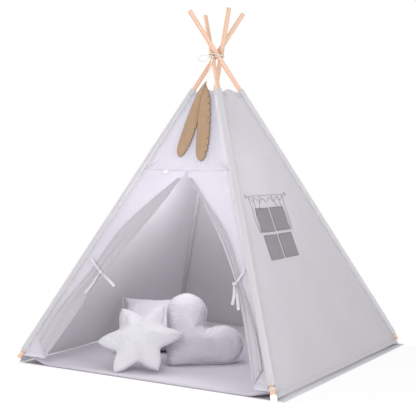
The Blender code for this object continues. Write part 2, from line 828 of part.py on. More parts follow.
def build_feather(word, x, top_height, layer, lean):
    tan = material("feather_felt", (0.42, 0.30, 0.20), 0.8)
    cord = material("cord", (0.84, 0.82, 0.80), 0.9)
    frame = feather_frame(x, top_height, layer, lean)
    bm = bmesh.new()
    half = FEATHER_THICKNESS / 2
    outline = feather_outline(FEATHER_LENGTH, FEATHER_WIDTH)
    face = bm.faces.new([bm.verts.new((px, -half, pz)) for px, pz in outline])
    extruded = bmesh.ops.extrude_face_region(bm, geom=[face])
    moved = [v for v in extruded["geom"] if isinstance(v, bmesh.types.BMVert)]
    bmesh.ops.translate(bm, verts=moved, vec=(0, FEATHER_THICKNESS, 0))
    add_object("feather_" + word, bm, tan, frame)
    top = frame @ Vector((0, 0, 2 * FIT_GAP))
    aside = math.copysign(STRING_DIAMETER / 2 + FIT_GAP, x)
    drop = math.sqrt(HANGER_RADIUS**2 - aside**2) + 2 * FIT_GAP
    hang = hanger_place() + Vector((aside, 0, -drop))
    string = [hang, hang.lerp(top, 0.35) - UP * STRING_DIAMETER, hang.lerp(top, 0.7), top]
    tube("feather_string_" + word, smooth_route(string, 4), STRING_DIAMETER, cord)


def hanger_place():
    # The pendants hang from a small knot on the front of the lashing
    height = CROSSING_HEIGHT - LASHING_PITCH * (LASHING_TURNS / 2 - 0.75)
    front = wrap_radius(-PI / 2, height)
    return Vector((0, -front - LASHING_DIAMETER / 2 - HANGER_RADIUS - FIT_GAP, height))


def build_feathers():
    cord = material("cord", (0.84, 0.82, 0.80), 0.9)
    bm = bmesh.new()
    add_knot(bm, hanger_place(), HANGER_RADIUS)
    add_object("feather_knot", bm, cord)
    build_feather("left", -FEATHER_ASIDE, CROSSING_HEIGHT - FEATHER_DROP_LEFT, 0, FEATHER_LEAN_LEFT)
    build_feather("right", FEATHER_ASIDE, CROSSING_HEIGHT - FEATHER_DROP_RIGHT, 1, FEATHER_LEAN_RIGHT)


# Mat

def mat_corner_rise(x, y):
    # The corners are pulled up by the loops
    half = MAT_SIDE / 2
    reach = (half - abs(x)) + (half - abs(y))
    return MAT_CORNER_LIFT * (1 - smooth_step(reach / MAT_LIFT_REACH))


def build_mat():
    cells = 15
    half = MAT_SIDE / 2
    bm = bmesh.new()
    layers = (
        (0.0, MAT_EDGE_ROUNDING),
        (MAT_EDGE_ROUNDING, 0.0),
        (MAT_THICKNESS - MAT_EDGE_ROUNDING, 0.0),
        (MAT_THICKNESS, MAT_EDGE_ROUNDING),
    )

    def spot(i, j, height, inset):
        # The cells are finer towards the edges, where the corners are round and lifted
        x, y = -half * math.cos(PI * i / cells), -half * math.cos(PI * j / cells)
        corner_x, corner_y = abs(x) - (half - MAT_CORNER_RADIUS), abs(y) - (half - MAT_CORNER_RADIUS)
        if corner_x > 0 and corner_y > 0:
            pull = max(corner_x, corner_y) / math.hypot(corner_x, corner_y)
            x = math.copysign(half - MAT_CORNER_RADIUS + corner_x * pull, x)
            y = math.copysign(half - MAT_CORNER_RADIUS + corner_y * pull, y)
        shrink = 1 - inset / half
        return Vector((x * shrink, y * shrink, height + mat_corner_rise(x, y)))

    def border():
        return (
            [(i, 0) for i in range(cells)]
            + [(cells, j) for j in range(cells)]
            + [(i, cells) for i in range(cells, 0, -1)]
            + [(0, j) for j in range(cells, 0, -1)]
        )

    grids = {}
    for level in (0, 3):
        height, inset = layers[level]
        for i in range(cells + 1):
            for j in range(cells + 1):
                grids[level, i, j] = bm.verts.new(spot(i, j, height, inset))
        for i in range(cells):
            for j in range(cells):
                bm.faces.new([grids[level, i + a, j + b] for a, b in ((0, 0), (1, 0), (1, 1), (0, 1))])
    rings = [[grids[0, i, j] for i, j in border()]]
    for level in (1, 2):
        height, inset = layers[level]
        rings.append([bm.verts.new(spot(i, j, height, inset)) for i, j in border()])
    rings.append([grids[3, i, j] for i, j in border()])
    for ring, following in zip(rings, rings[1:]):
        for k in range(len(ring)):
            after = (k + 1) % len(ring)
            bm.faces.new((ring[k], ring[after], following[after], following[k]))
    add_object("floor_mat", bm, cotton())


def build_mat_loop(corner):
    # An elastic loop from the mat's corner round the bare pole
    elastic = material("elastic", (0.85, 0.84, 0.86), 0.8)
    frame = pole_frame(corner)
    place = along_pole(corner, LOOP_HEIGHT)
    radius = POLE_RADIUS + FIT_GAP + LOOP_DIAMETER / 2
    x, y = CORNERS[corner]
    half = MAT_SIDE / 2
    inwards = Vector((-x, -y, 0)).normalized()
    seam = Vector((x * half, y * half, 0)) + inwards * (MAT_CORNER_RADIUS * (math.sqrt(2) - 1) - FIT_GAP)
    seam.z = MAT_THICKNESS / 2 + mat_corner_rise(seam.x, seam.y)
    local_seam = frame.inverted() @ seam
    towards = math.atan2(local_seam.y, local_seam.x)
    open_angle = PI / 4
    arc = []
    steps = 12
    for k in range(steps + 1):
        angle = towards + open_angle + (2 * PI - 2 * open_angle) * k / steps
        arc.append(frame @ Vector((radius * math.cos(angle), radius * math.sin(angle), place)))
    side = Vector((-y, x, 0)).normalized() * LOOP_DIAMETER * 0.75
    if (arc[0] - seam).dot(side) < 0:
        side = -side
    tube("mat_loop_" + corner, [seam + side] + arc + [seam - side], LOOP_DIAMETER, elastic)


# Cushions

def cushion_frame(place, lean, turn, roll=0.0):
    return (
        Matrix.Translation((*place, 0))
        @ Matrix.Rotation(turn, 4, "Z")
        @ Matrix.Rotation(-lean, 4, "X")
        @ Matrix.Rotation(roll, 4, (0, -1, 0))
    )


def build_cushion(name, outline, half_height, frame, rings):
    # A crowned pad: the outline is drawn in towards the middle in rings whose height follows the filling
    cloth = material("cushion_cotton", (0.66, 0.64, 0.69), 0.9)
    bm = bmesh.new()
    count = len(outline)
    reach = max(math.hypot(x, z) for x, z in outline)
    layers = []
    for face in (-1, 1):
        centre = bm.verts.new((0, face * half_height, 0))
        loops = []
        for k in range(1, rings + 1):
            part = math.sin(PI / 2 * k / rings)
            crown = (1 - part**CROWN_FLATNESS) ** CROWN_EDGE
            loop = []
            for x, z in outline:
                thin = 1 - TIP_THINNING * (math.hypot(x, z) * part / reach) ** 2
                height = CUSHION_SEAM + (half_height - CUSHION_SEAM) * crown * thin
                loop.append(bm.verts.new((x * part, face * height, z * part)))
            loops.append(loop)
        layers.append((centre, loops))
    for centre, loops in layers:
        for i in range(count):
            j = (i + 1) % count
            bm.faces.new((centre, loops[0][i], loops[0][j]))
            for inner, outer in zip(loops, loops[1:]):
                bm.faces.new((inner[i], outer[i], outer[j], inner[j]))
    front, back = layers[0][1][-1], layers[1][1][-1]
    for i in range(count):
        j = (i + 1) % count
        bm.faces.new((front[i], front[j], back[j], back[i]))
    lowest = min((frame @ v.co).z for v in bm.verts)
    seat = Matrix.Translation((0, 0, MAT_THICKNESS + FIT_GAP - lowest))
    add_object(name, bm, cloth, seat @ frame)


def star_outline():
    # Straight sides between tips and valleys, partly rounded off
    points = []
    tips, steps = 6, 8
    half = PI / tips
    for k in range(tips * steps):
        angle = 2 * PI * k / (tips * steps)
        off = abs((angle + half) % (2 * half) - half)
        chord = STAR_RADIUS * math.sin(off) + STAR_VALLEY_RADIUS * math.sin(half - off)
        straight = STAR_RADIUS * STAR_VALLEY_RADIUS * math.sin(half) / chord
        wave = (1 + math.cos(tips * angle)) / 2
        smooth = STAR_VALLEY_RADIUS + (STAR_RADIUS - STAR_VALLEY_RADIUS) * wave
        radius = straight + STAR_ROUNDING * (smooth - straight)
        points.append((radius * math.cos(angle), radius * math.sin(angle)))
    return points


def heart_outline():
    # Two round-ended arms of one width, square to each other, meet in the tip; seen upright they make a heart
    arm, end = HEART_ARM, HEART_REACH - HEART_ARM / 2
    tip, notch = HEART_TIP_ROUNDING, HEART_NOTCH_ROUNDING

    def arc(x, z, radius, start, turn, steps):
        return [
            (x + radius * math.cos(start + turn * k / steps), z + radius * math.sin(start + turn * k / steps))
            for k in range(steps + 1)
        ]

    points = arc(tip, tip, tip, PI, PI / 2, 3)
    points += arc(end, arm / 2, arm / 2, -PI / 2, PI, 12)
    points += [((arm + notch + end) / 2, arm)]
    points += arc(arm + notch, arm + notch, notch, -PI / 2, -PI / 2, 3)
    points += [(arm, (arm + notch + end) / 2)]
    points += arc(arm / 2, end, arm / 2, 0, PI, 12)
    points += [(0, end * 2 / 3), (0, end / 3)]
    centre = arm * HEART_CENTRE_SHARE
    bottom = [(end / 3, 0), (end * 2 / 3, 0)]
    points = points[:4] + bottom + points[4:]
    return [(x - centre, z - centre) for x, z in points]


def square_outline():
    points = []
    half = SQUARE_SIDE / 2
    steps = 10
    for quarter in range(4):
        turn = Matrix.Rotation(quarter * PI / 2, 2)
        for k in range(steps):
            place = 2 * k / steps - 1
            edge = half - SQUARE_DRAWN_IN * (1 - place * place)
            point = turn @ Vector((edge, place * half))
            points.append((point.x, point.y))
    return points


def build_cushions():
    star = cushion_frame(STAR_PLACE, STAR_LEAN, STAR_TURN, STAR_ROLL)
    heart = cushion_frame(HEART_PLACE, HEART_LEAN, HEART_TURN, HEART_ROLL)
    square = cushion_frame(SQUARE_PLACE, SQUARE_LEAN, SQUARE_TURN)
    build_cushion("cushion_star", star_outline(), STAR_HALF_HEIGHT, star, 6)
    build_cushion("cushion_heart", heart_outline(), HEART_HALF_HEIGHT, heart, 6)
    build_cushion("cushion_square", square_outline(), SQUARE_HALF_HEIGHT, square, 6)


def build():
    clear_scene()
    for corner in CORNERS:
        build_pole(corner)
        build_mat_loop(corner)
    build_panel("panel_right", "front_right", "back_right", HEM_HEIGHT, 10, 12)
    build_panel("panel_back", "back_right", "back_left", HEM_HEIGHT, 10, 12)
    build_panel("panel_left", "back_left", "front_left", HEM_HEIGHT, 10, 12)
    build_panel("front_yoke", "front_left", "front_right", YOKE_SEAM_HEIGHT, 4, 10)
    for side, word in ((-1, "left"), (1, "right")):
        build_front_half("front_half_" + word, side)
        build_curtain("door_curtain_" + word, side)
        build_tie(side, word)
    build_window()
    build_label()
    build_lashing()
    build_feathers()
    build_mat()
    build_cushions()


build()
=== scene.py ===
import math

import bmesh
import bpy
import numpy as np
from mathutils import Matrix, Vector, noise


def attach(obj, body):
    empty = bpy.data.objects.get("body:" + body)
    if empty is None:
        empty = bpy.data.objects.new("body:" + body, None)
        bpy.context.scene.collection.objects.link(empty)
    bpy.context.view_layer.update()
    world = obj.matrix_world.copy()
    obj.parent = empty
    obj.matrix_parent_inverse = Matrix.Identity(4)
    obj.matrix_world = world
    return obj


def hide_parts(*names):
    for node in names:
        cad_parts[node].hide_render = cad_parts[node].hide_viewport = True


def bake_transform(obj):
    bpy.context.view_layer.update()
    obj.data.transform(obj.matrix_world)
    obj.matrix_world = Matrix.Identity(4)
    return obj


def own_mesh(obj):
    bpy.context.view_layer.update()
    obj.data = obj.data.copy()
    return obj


# Kids' play teepee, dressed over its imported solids: cotton cover on four lashed poles, door and window,
# padded mat, three cushions, feather pendants. Metres, +Z up, the door faces -Y.
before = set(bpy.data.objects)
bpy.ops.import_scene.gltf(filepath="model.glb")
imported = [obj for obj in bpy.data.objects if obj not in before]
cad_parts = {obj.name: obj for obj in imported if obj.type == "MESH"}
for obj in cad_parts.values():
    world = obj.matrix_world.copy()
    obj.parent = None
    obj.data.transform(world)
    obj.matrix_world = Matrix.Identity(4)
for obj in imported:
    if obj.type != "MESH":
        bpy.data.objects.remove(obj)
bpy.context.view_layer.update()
scene = bpy.context.scene
up = Vector((0, 0, 1))
print("frame loaded:", len(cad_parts), "nodes")

# Camera, lamps and the pale floor. Each lamp is its place, size and power, and each pair a run from none to all
studio = {
    "eye": (1.949, -3.195, 0.801),
    "aim": (0.0, 0.0, 0.5687),
    "lens": 82.67,
    "sensor": 36,
    "shiftX": -0.0206,
    "floorColour": (0.95, 0.95, 0.95),
    # The grey for the floor under the tent is painted shade
    "paintedShadeUnderTent": (0.52, 0.51, 0.53),
    "floorReach": 26,
    "floorDrop": 0.0004,
    "underTent": (0.572, 0.558),
    "behindDoor": (-0.518, -0.508),
    "glowRun": (0.7, 2.4),
    "nearGlow": 0.78,
    "skyLight": 0.58,
    "lampAim": (0, 0, 0.45),
    "keyLamp": ((1.2, -4.6, 2.7), 3.0, 90),
    "sideLamp": ((4.4, -1.0, 2.4), 3.0, 106),
    "leftLamp": ((-4.6, -0.2, 2.6), 3.0, 205),
    "insideLamp": ((-0.06, -0.14, 0.61), 0.40, 6.6),
}
white = (1.0, 1.0, 1.0)


def makeCamera():
    lensData = bpy.data.cameras.new("photoView")
    lensData.lens, lensData.shift_x = studio["lens"], studio["shiftX"]
    lensData.sensor_width, lensData.clip_end = studio["sensor"], 60
    eye = bpy.data.objects.new("photoView", lensData)
    scene.collection.objects.link(eye)
    eye.location = studio["eye"]
    eye.rotation_mode = "QUATERNION"
    eye.rotation_quaternion = (Vector(studio["aim"]) - Vector(studio["eye"])).to_track_quat("-Z", "Y")
    scene.camera = eye


makeCamera()
print("camera set")


# A socket of a material's tree, so that shader maths reads as plain sums
class Wire:
    def __init__(self, finish, socket):
        self.finish = finish
        self.socket = socket

    def sum(self, operation, *values):
        return self.finish.add("ShaderNodeMath", {"operation": operation}, dict(enumerate(values)))

    def __add__(self, other):
        return self.sum("ADD", self, other)

    __radd__ = __add__

    def __sub__(self, other):
        return self.sum("SUBTRACT", self, other)

    def __rsub__(self, other):
        return self.sum("SUBTRACT", other, self)

    def __mul__(self, other):
        return self.sum("MULTIPLY", self, other)

    __rmul__ = __mul__

    def __truediv__(self, other):
        return self.sum("DIVIDE", self, other)

    def __rtruediv__(self, other):
        return self.sum("DIVIDE", other, self)

    def sine(self):
        return self.sum("SINE", self)

    def size(self):
        return self.sum("ABSOLUTE", self)

    def least(self, other):
        return self.sum("MINIMUM", self, other)

    def most(self, other):
        return self.sum("MAXIMUM", self, other)

    def eased(self, low, high):
        # 0 at low to 1 at high, and the other way round where low is the larger
        return self.finish.add("ShaderNodeMapRange", {"interpolation_type": "SMOOTHSTEP"}, {0: self, 1: low, 2: high})


# One material or the sky: add() makes any node from its type, settings and socket values
class Finish:
    def __init__(self, owner, roughness=None):
        self.material = owner
        owner.use_nodes = True
        self.tree = owner.node_tree
        self.tree.nodes.clear()
        if roughness is not None:
            self.skin = self.add("ShaderNodeBsdfPrincipled")
            self.surface = self.skin.socket.node
            self.end = self.add("ShaderNodeOutputMaterial", {}, {"Surface": self.skin}, None)
            self.set("Roughness", roughness)

    def feed(self, socket, value):
        if isinstance(value, Wire):
            self.tree.links.new(value.socket, socket)
        elif isinstance(value, tuple) and len(value) == 3 and socket.type == "RGBA":
            socket.default_value = (*value, 1)
        else:
            socket.default_value = value

    def set(self, name, value):
        self.feed(self.surface.inputs[name], value)

    def add(self, kind, settings=None, values=None, out=0):
        node = self.tree.nodes.new(kind)
        for key, value in (settings or {}).items():
            if key == "stops":
                while len(node.color_ramp.elements) < len(value):
                    node.color_ramp.elements.new(0.5)
                for element, (place, colour) in zip(node.color_ramp.elements, value):
                    element.position, element.color = place, (*colour, 1)
            else:
                setattr(node, key, value)
        for key, value in (values or {}).items():
            self.feed(node.inputs[key], value)
        return node if out is None else Wire(self, node.outputs[out])

    def mixed(self, share, first, second):
        return self.add("ShaderNodeMix", {"data_type": "RGBA"}, {0: share, 6: first, 7: second}, 2)

    def noisy(self, where, scale, detail=2.0, rough=0.5, stretch=(1, 1, 1)):
        placed = self.add("ShaderNodeMapping", {}, {"Vector": where, "Scale": stretch})
        values = {"Vector": placed, "Scale": scale, "Detail": detail, "Roughness": rough}
        return self.add("ShaderNodeTexNoise", {}, values)

    def uv(self, name):
        return self.add("ShaderNodeUVMap", {"uv_map": name})

    def parts(self, vector):
        split = self.add("ShaderNodeSeparateXYZ", {}, {0: vector})
        return split, Wire(self, split.socket.node.outputs[1])

    def seenRay(self, through):
        rays = self.add("ShaderNodeLightPath", out=None).outputs
        seen = Wire(self, rays["Is Camera Ray"]).most(Wire(self, rays["Is Glossy Ray"]))
        return seen.most(Wire(self, rays["Is Transmission Ray"])) if through else seen

    def bumped(self, height, strength, distance, under=None):
        values = {"Height": height, "Strength": strength, "Distance": distance}
        if under is not None:
            values["Normal"] = under
        return self.add("ShaderNodeBump", {}, values)


def newFinish(name, roughness, sheen=(), coat=(), specular=None):
    made = Finish(bpy.data.materials.new(name), roughness)
    for kind, values in (("Sheen", sheen), ("Coat", coat)):
        for ending, value in zip((" Weight", " Roughness"), values):
            made.set(kind + ending, value)
    if specular is not None:
        made.set("Specular IOR Level", specular)
    return made


def linear(*levels):
    # Screen colour levels, 0 to 255, as the shader's linear colour
    return tuple((v / 255 / 12.92 if v < 11 else ((v / 255 + 0.055) / 1.055) ** 2.4) for v in levels)


# Cloth: one woven finish for all cottons. Each row is the colour, its shade, the thread's pitch, the depth of the
# weave, the depth of the creases, and how much light comes through
cottons = {
    "cover": ((214, 212, 216), (204, 202, 207), 0.0009, 0.10, 0.5, 0.40),
    "front": ((222, 219, 228), (212, 208, 218), 0.0009, 0.10, 0.5, 0.22),
    "sleeve": ((203, 201, 204), (197, 195, 200), 0.0009, 0.10, 0.8, 0.15),
    # The curtain's colours are darker than the front's: painted shade for its deep folds
    "curtain": ((206, 202, 209), (192, 188, 196), 0.0009, 0.10, 0.7, 0.30),
    "mat": ((194, 189, 199), (183, 178, 189), 0.0009, 0.12, 0.8, 0.00),
    "cushion": ((203, 201, 207), (193, 190, 198), 0.0009, 0.12, 0.9, 0.00),
    "pane": ((147, 142, 148), (136, 131, 138), 0.0008, 0.14, 0.3, 0.20),
}


def cottonFinish(name, colour, shade, thread, depth, creased, through):
    # Threads cross in a plain weave, with thicker slubs, soft creases, and stitches along each sewn edge
    pale, dark = linear(*colour), linear(*shade)
    cotton = newFinish(name, 0.85, sheen=(0.25, 0.5), specular=0.2)
    cloth = cotton.uv("clothMap")
    u, v = cotton.parts(cloth)
    turn = math.pi / thread
    warp, weft = (u * turn).sine(), (v * turn).sine()
    weave = warp * warp * weft * weft
    slubs = cotton.noisy(cloth, 55, 3, 0.6, (14, 1, 1)) + cotton.noisy(cloth, 55, 3, 0.6, (1, 14, 1))
    clouds = cotton.noisy(cloth, 7, 4, 0.55)
    creases = cotton.noisy(cloth, 16, 5, 0.6, (1, 0.55, 1))
    run, fromSeam = cotton.parts(cotton.uv("sewMap"))
    dash = (run * (math.pi / 0.004)).sine().size()
    line = (fromSeam - 0.009).size().eased(0.0011, 0.0004)
    nearSeam = fromSeam.eased(0.040, 0.006)
    puckers = cotton.noisy(cotton.uv("sewMap"), 60, 3, 0.55, (1.6, 0.25, 1)) * nearSeam
    mixShare = (clouds * 0.9 + slubs * 0.35 - 0.3).least(1.0).most(0.0)
    tone = cotton.mixed(mixShare, pale, dark)
    cotton.set("Base Color", cotton.mixed(line * 0.25, tone, tuple(0.80 * c for c in dark)))
    cotton.set("Roughness", slubs * 0.10 + 0.74)
    normal = cotton.bumped(creases, 0.30 * creased, 0.010)
    normal = cotton.bumped(puckers, 0.55, 0.006, normal)
    normal = cotton.bumped(line * dash, 0.6, 0.0009, normal)
    normal = cotton.bumped(weave * 0.7 + slubs * 0.5, depth, 0.0006, normal)
    cotton.set("Normal", normal)
    if through:
        behind = cotton.add("ShaderNodeBsdfTranslucent", {}, {"Color": pale, "Normal": normal})
        thin = cotton.add("ShaderNodeMixShader", {}, {0: through, 1: cotton.skin, 2: behind})
        cotton.feed(cotton.end.inputs["Surface"], thin)
    return cotton.material


# Pine: growth rings cut along the pole, long fibres, a few darker streaks
pineWood = {"early": linear(222, 190, 170), "late": linear(200, 162, 136), "ringPitch": 0.0065, "fibre": 420}


def pineFinish(name, place):
    pine = newFinish(name, 0.55, specular=0.35, coat=(0.04, 0.5))
    toPole = place.inverted().to_euler()
    here = pine.add("ShaderNodeTexCoord", {}, {}, 3)
    local = pine.add("ShaderNodeMapping", {"vector_type": "POINT"}, {"Vector": here, "Rotation": tuple(toPole)})
    wander = pine.noisy(local, 9, 2, 0.5, (1, 1, 0.25))
    across, along = pine.parts(local)
    rings = ((across + along * 0.45) * (2 * math.pi / pineWood["ringPitch"]) + wander * 9).sine() * 0.5 + 0.5
    fibres = pine.noisy(local, pineWood["fibre"], 4, 0.6, (1, 1, 0.018))
    streaks = pine.noisy(local, 30, 3, 0.6, (1, 1, 0.05)).eased(0.58, 0.78)
    tone = pine.mixed((rings * 0.55 + fibres * 0.45).least(1.0), pineWood["early"], pineWood["late"])
    pine.set("Base Color", pine.mixed(streaks * 0.35, tone, tuple(0.82 * c for c in pineWood["late"])))
    pine.set("Roughness", fibres * 0.22 + 0.42)
    pine.set("Normal", pine.bumped(fibres + rings * 0.3, 0.25, 0.0008))
    return pine.material


def rubberFinish():
    rubber = newFinish("capRubber", 0.5, specular=0.4)
    here = rubber.add("ShaderNodeTexCoord", {}, {}, 3)
    grain, scuffs = rubber.noisy(here, 900, 2), rubber.noisy(here, 60, 4, 0.65)
    worn = scuffs.eased(0.55, 0.75)
    rubber.set("Base Color", rubber.mixed(worn * 0.35, linear(243, 243, 244), linear(214, 212, 210)))
    rubber.set("Roughness", worn * 0.2 + 0.45)
    rubber.set("Normal", rubber.bumped(grain + scuffs * 0.6, 0.18, 0.0004))
    return rubber.material


def cordFinish(name, pale, dark):
    # Twisted yarn: the strands are modelled, the fibres run along them
    cord = newFinish(name, 0.9, sheen=(0.3,), specular=0.15)
    run = cord.uv("clothMap")
    fibres = cord.noisy(run, 900, 3, 0.65, (1, 0.12, 1))
    tone = cord.noisy(run, 30, 3)
    cord.set("Base Color", cord.mixed((fibres * 0.6 + tone * 0.5 - 0.1).least(1.0), pale, dark))
    cord.set("Roughness", fibres * 0.12 + 0.82)
    cord.set("Normal", cord.bumped(fibres, 0.4, 0.0003))
    return cord.material


def feltFinish():
    # Pressed felt with a painted shade band along its cut edge, for the shadow of the felt's thickness, and pressed
    # barb lines that slant away from the quill
    felt = newFinish("featherFelt", 0.9, sheen=(0.35,), specular=0.12)
    cloth = felt.uv("clothMap")
    u, v = felt.parts(cloth)
    run, fromEdge = felt.parts(felt.uv("sewMap"))
    fuzz, mottle = felt.noisy(cloth, 700, 4, 0.7), felt.noisy(cloth, 26, 4, 0.6)
    slant = v + u.size() * 1.15
    barbs = (slant * (2 * math.pi / 0.0052)).sine().eased(0.3, 1.0)
    quill = u.size().eased(0.0016, 0.0006)
    # Painted shade: a dark band along the cut edge
    edge = (fromEdge + mottle * 0.0012 - 0.0006).eased(0.0019, 0.0008)
    tone = felt.mixed((mottle * 0.9 + fuzz * 0.3 - 0.15).least(1.0), linear(176, 147, 119), linear(148, 118, 90))
    tone = felt.mixed(barbs * 0.22, tone, linear(120, 92, 66))
    tone = felt.mixed(quill * 0.14, tone, linear(206, 180, 150))
    felt.set("Base Color", felt.mixed(edge * 0.85, tone, linear(84, 62, 45)))
    felt.set("Roughness", fuzz * 0.12 + 0.82)
    felt.set("Normal", felt.bumped(fuzz * 0.5 - barbs * 0.6, 0.4, 0.0006))
    return felt.material


def ribbonFinish(name, pale, shade):
    # Fine ribs cross the tape, with a firm selvedge along each side
    tape = newFinish(name, 0.7, sheen=(0.35, 0.4), specular=0.25)
    cloth = tape.uv("clothMap")
    u, v = tape.parts(cloth)
    run, fromEdge = tape.parts(tape.uv("sewMap"))
    ribs = (v * (2 * math.pi / 0.0008)).sine() * 0.5 + 0.5
    selvedge = fromEdge.eased(0.0014, 0.0009)
    tone = tape.noisy(cloth, 60, 4, 0.6)
    colour = tape.mixed((tone + ribs * 0.15 - 0.1).least(1.0), pale, shade)
    tape.set("Base Color", tape.mixed(selvedge * 0.3, colour, tuple(0.85 * c for c in shade)))
    tape.set("Roughness", tone * 0.15 + 0.6)
    tape.set("Normal", tape.bumped(ribs * 0.4 + selvedge * 0.8 + tone * 0.8, 0.35, 0.0005))
    return tape.material


def threadFinish():
    # Embroidery: satin stitches lie side by side along the drawn line
    thread = newFinish("embroideryThread", 0.55, sheen=(0.2,), specular=0.4)
    cloth = thread.uv("clothMap")
    u, v = thread.parts(cloth)
    stitches = (v * (2 * math.pi / 0.0011) + u * 900).sine() * 0.5 + 0.5
    tone = thread.noisy(cloth, 90, 3)
    share = (tone * 0.7 + stitches * 0.3).least(1.0)
    thread.set("Base Color", thread.mixed(share, linear(142, 138, 145), linear(104, 100, 108)))
    thread.set("Roughness", stitches * 0.15 + 0.48)
    thread.set("Normal", thread.bumped(stitches, 0.5, 0.0004))
    return thread.material


finishes = {word: cottonFinish(word + "Cotton", *row) for word, row in cottons.items()}
finishes |= {
    "rubber": rubberFinish(),
    "cord": cordFinish("lashingYarn", linear(232, 224, 214), linear(206, 196, 184)),
    "elastic": cordFinish("elasticYarn", linear(236, 234, 238), linear(214, 211, 217)),
    "felt": feltFinish(),
    "ribbon": ribbonFinish("tieRibbon", linear(205, 201, 208), linear(184, 180, 188)),
    "label": ribbonFinish("labelTape", linear(236, 226, 231), linear(222, 211, 217)),
    "thread": threadFinish(),
}
print("materials ready:", len(finishes))


# Mesh makers
def link(name, mesh, finish):
    mesh.materials.append(finish)
    mesh.shade_smooth()
    piece = bpy.data.objects.new(name, mesh)
    scene.collection.objects.link(piece)
    return piece


def addMaps(mesh, clothMap, sewMap):
    # clothMap and sewMap hold one pair for each point, in metres
    loops = np.zeros(len(mesh.loops), dtype=np.int64)
    mesh.loops.foreach_get("vertex_index", loops)
    for layerName, pairs in (("clothMap", clothMap), ("sewMap", sewMap)):
        if pairs is not None:
            layer = mesh.uv_layers.new(name=layerName)
            layer.data.foreach_set("uv", np.asarray(pairs, np.float32)[loops].ravel())


def meshFrom(name, points, faces, clothMap=None, sewMap=None):
    mesh = bpy.data.meshes.new(name)
    mesh.from_pydata([tuple(p) for p in points], [], faces)
    mesh.update()
    addMaps(mesh, clothMap, sewMap)
    return mesh


def seat(piece, body, *nodes):
    # The piece rides on the body and stands for the nodes
    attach(piece, body)
    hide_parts(*nodes)


def facesOut(mesh, merge=None):
    shape = bmesh.new()
    shape.from_mesh(mesh)
    if merge is not None:
        bmesh.ops.remove_doubles(shape, verts=shape.verts, dist=merge)
    bmesh.ops.recalc_face_normals(shape, faces=shape.faces)
    shape.to_mesh(mesh)
    shape.free()


def gridFaces(rows, columns, start=0, flip=False):
    faces = []
    for i in range(rows - 1):
        for j in range(columns - 1):
            a = start + i * columns + j
            face = (a, a + 1, a + columns + 1, a + columns)
            faces.append(face[::-1] if flip else face)
    return faces


def rimRound(rows, columns):
    last = (rows - 1) * columns
    rim = list(range(columns)) + [i * columns + columns - 1 for i in range(1, rows)]
    rim += [last + j for j in range(columns - 2, -1, -1)] + [i * columns for i in range(rows - 2, 0, -1)]
    return zip(rim, rim[1:] + rim[:1])


def clothSheet(name, made, thickness, finish):
    # Two layers about rows of middle points, joined round the edge. Each point comes with its place on the flat
    # cloth, and its place along the nearest seam and in from it
    middle, cloth, sew = (np.array([[tuple(spot[k]) for spot in row] for row in made], float) for k in range(3))
    rows, columns = middle.shape[:2]
    normal = np.cross(np.gradient(middle, axis=1), np.gradient(middle, axis=0))
    normal /= np.maximum(np.linalg.norm(normal, axis=2, keepdims=True), 1e-12)
    outer = (middle + normal * thickness / 2).reshape(-1, 3)
    inner = (middle - normal * thickness / 2).reshape(-1, 3)
    count = rows * columns
    faces = gridFaces(rows, columns) + gridFaces(rows, columns, count, True)
    faces += [(a, a + count, b + count, b) for a, b in rimRound(rows, columns)]
    cloth, sew = cloth.reshape(-1, 2), sew.reshape(-1, 2)
    mesh = meshFrom(name, np.vstack([outer, inner]), faces, np.vstack([cloth, cloth]), np.vstack([sew, sew]))
    mesh.set_sharp_from_angle(angle=math.radians(60))
    return link(name, mesh, finish)


def declareCloth(piece, width, length, held, restsOn):
    # width and length are the box that the flat cut fits in; its area is read from the sheet, and one percent added
    shape = bmesh.new()
    shape.from_mesh(piece.data)
    area = sum(face.calc_area() for face in shape.faces) / 2
    shape.free()
    area = min(area * 1.01, width * length)
    print("cloth", piece.name, "flat %.3f x %.3f m, area %.4f" % (width, length, area))


def runAlong(route):
    return np.concatenate([[0], np.cumsum(np.linalg.norm(np.diff(route, axis=0), axis=1))])


def evenPoints(points, gap):
    # The same route with its points a set distance apart
    route = np.array([tuple(p) for p in points], float)
    run = runAlong(route)
    count = max(int(round(run[-1] / gap)), 4)
    places = np.linspace(0, run[-1], count + 1)
    return np.stack([np.interp(places, run, route[:, k]) for k in range(3)], axis=1), places


def turningFrames(route):
    # Two directions square to the route at each point, carried along without twist
    tangents = np.gradient(route, axis=0)
    tangents /= np.linalg.norm(tangents, axis=1, keepdims=True)
    side = np.cross(tangents[0], (0.3, 0.5, 0.81))
    sides = []
    for tangent in tangents:
        side = side - tangent * np.dot(side, tangent)
        side = side / np.linalg.norm(side)
        sides.append(side)
    sides = np.array(sides)
    return sides, np.cross(tangents, sides)


def tubeParts(route, places, radii, sides, points, faces, clothMap):
    # Adds one round tube to lists of points and faces, with rounded ends
    first, second = turningFrames(route)
    start, rings = len(points), len(route)
    for i in range(rings):
        for k in range(sides):
            angle = 2 * math.pi * k / sides
            points.append(route[i] + radii[i] * (math.cos(angle) * first[i] + math.sin(angle) * second[i]))
            clothMap.append((radii[i] * angle, places[i]))
    for i in range(rings - 1):
        for k in range(sides):
            a, b = start + i * sides + k, start + i * sides + (k + 1) % sides
            faces.append((a, b, b + sides, a + sides))
    faces.append(tuple(start + k for k in range(sides))[::-1])
    faces.append(tuple(start + (rings - 1) * sides + k for k in range(sides)))


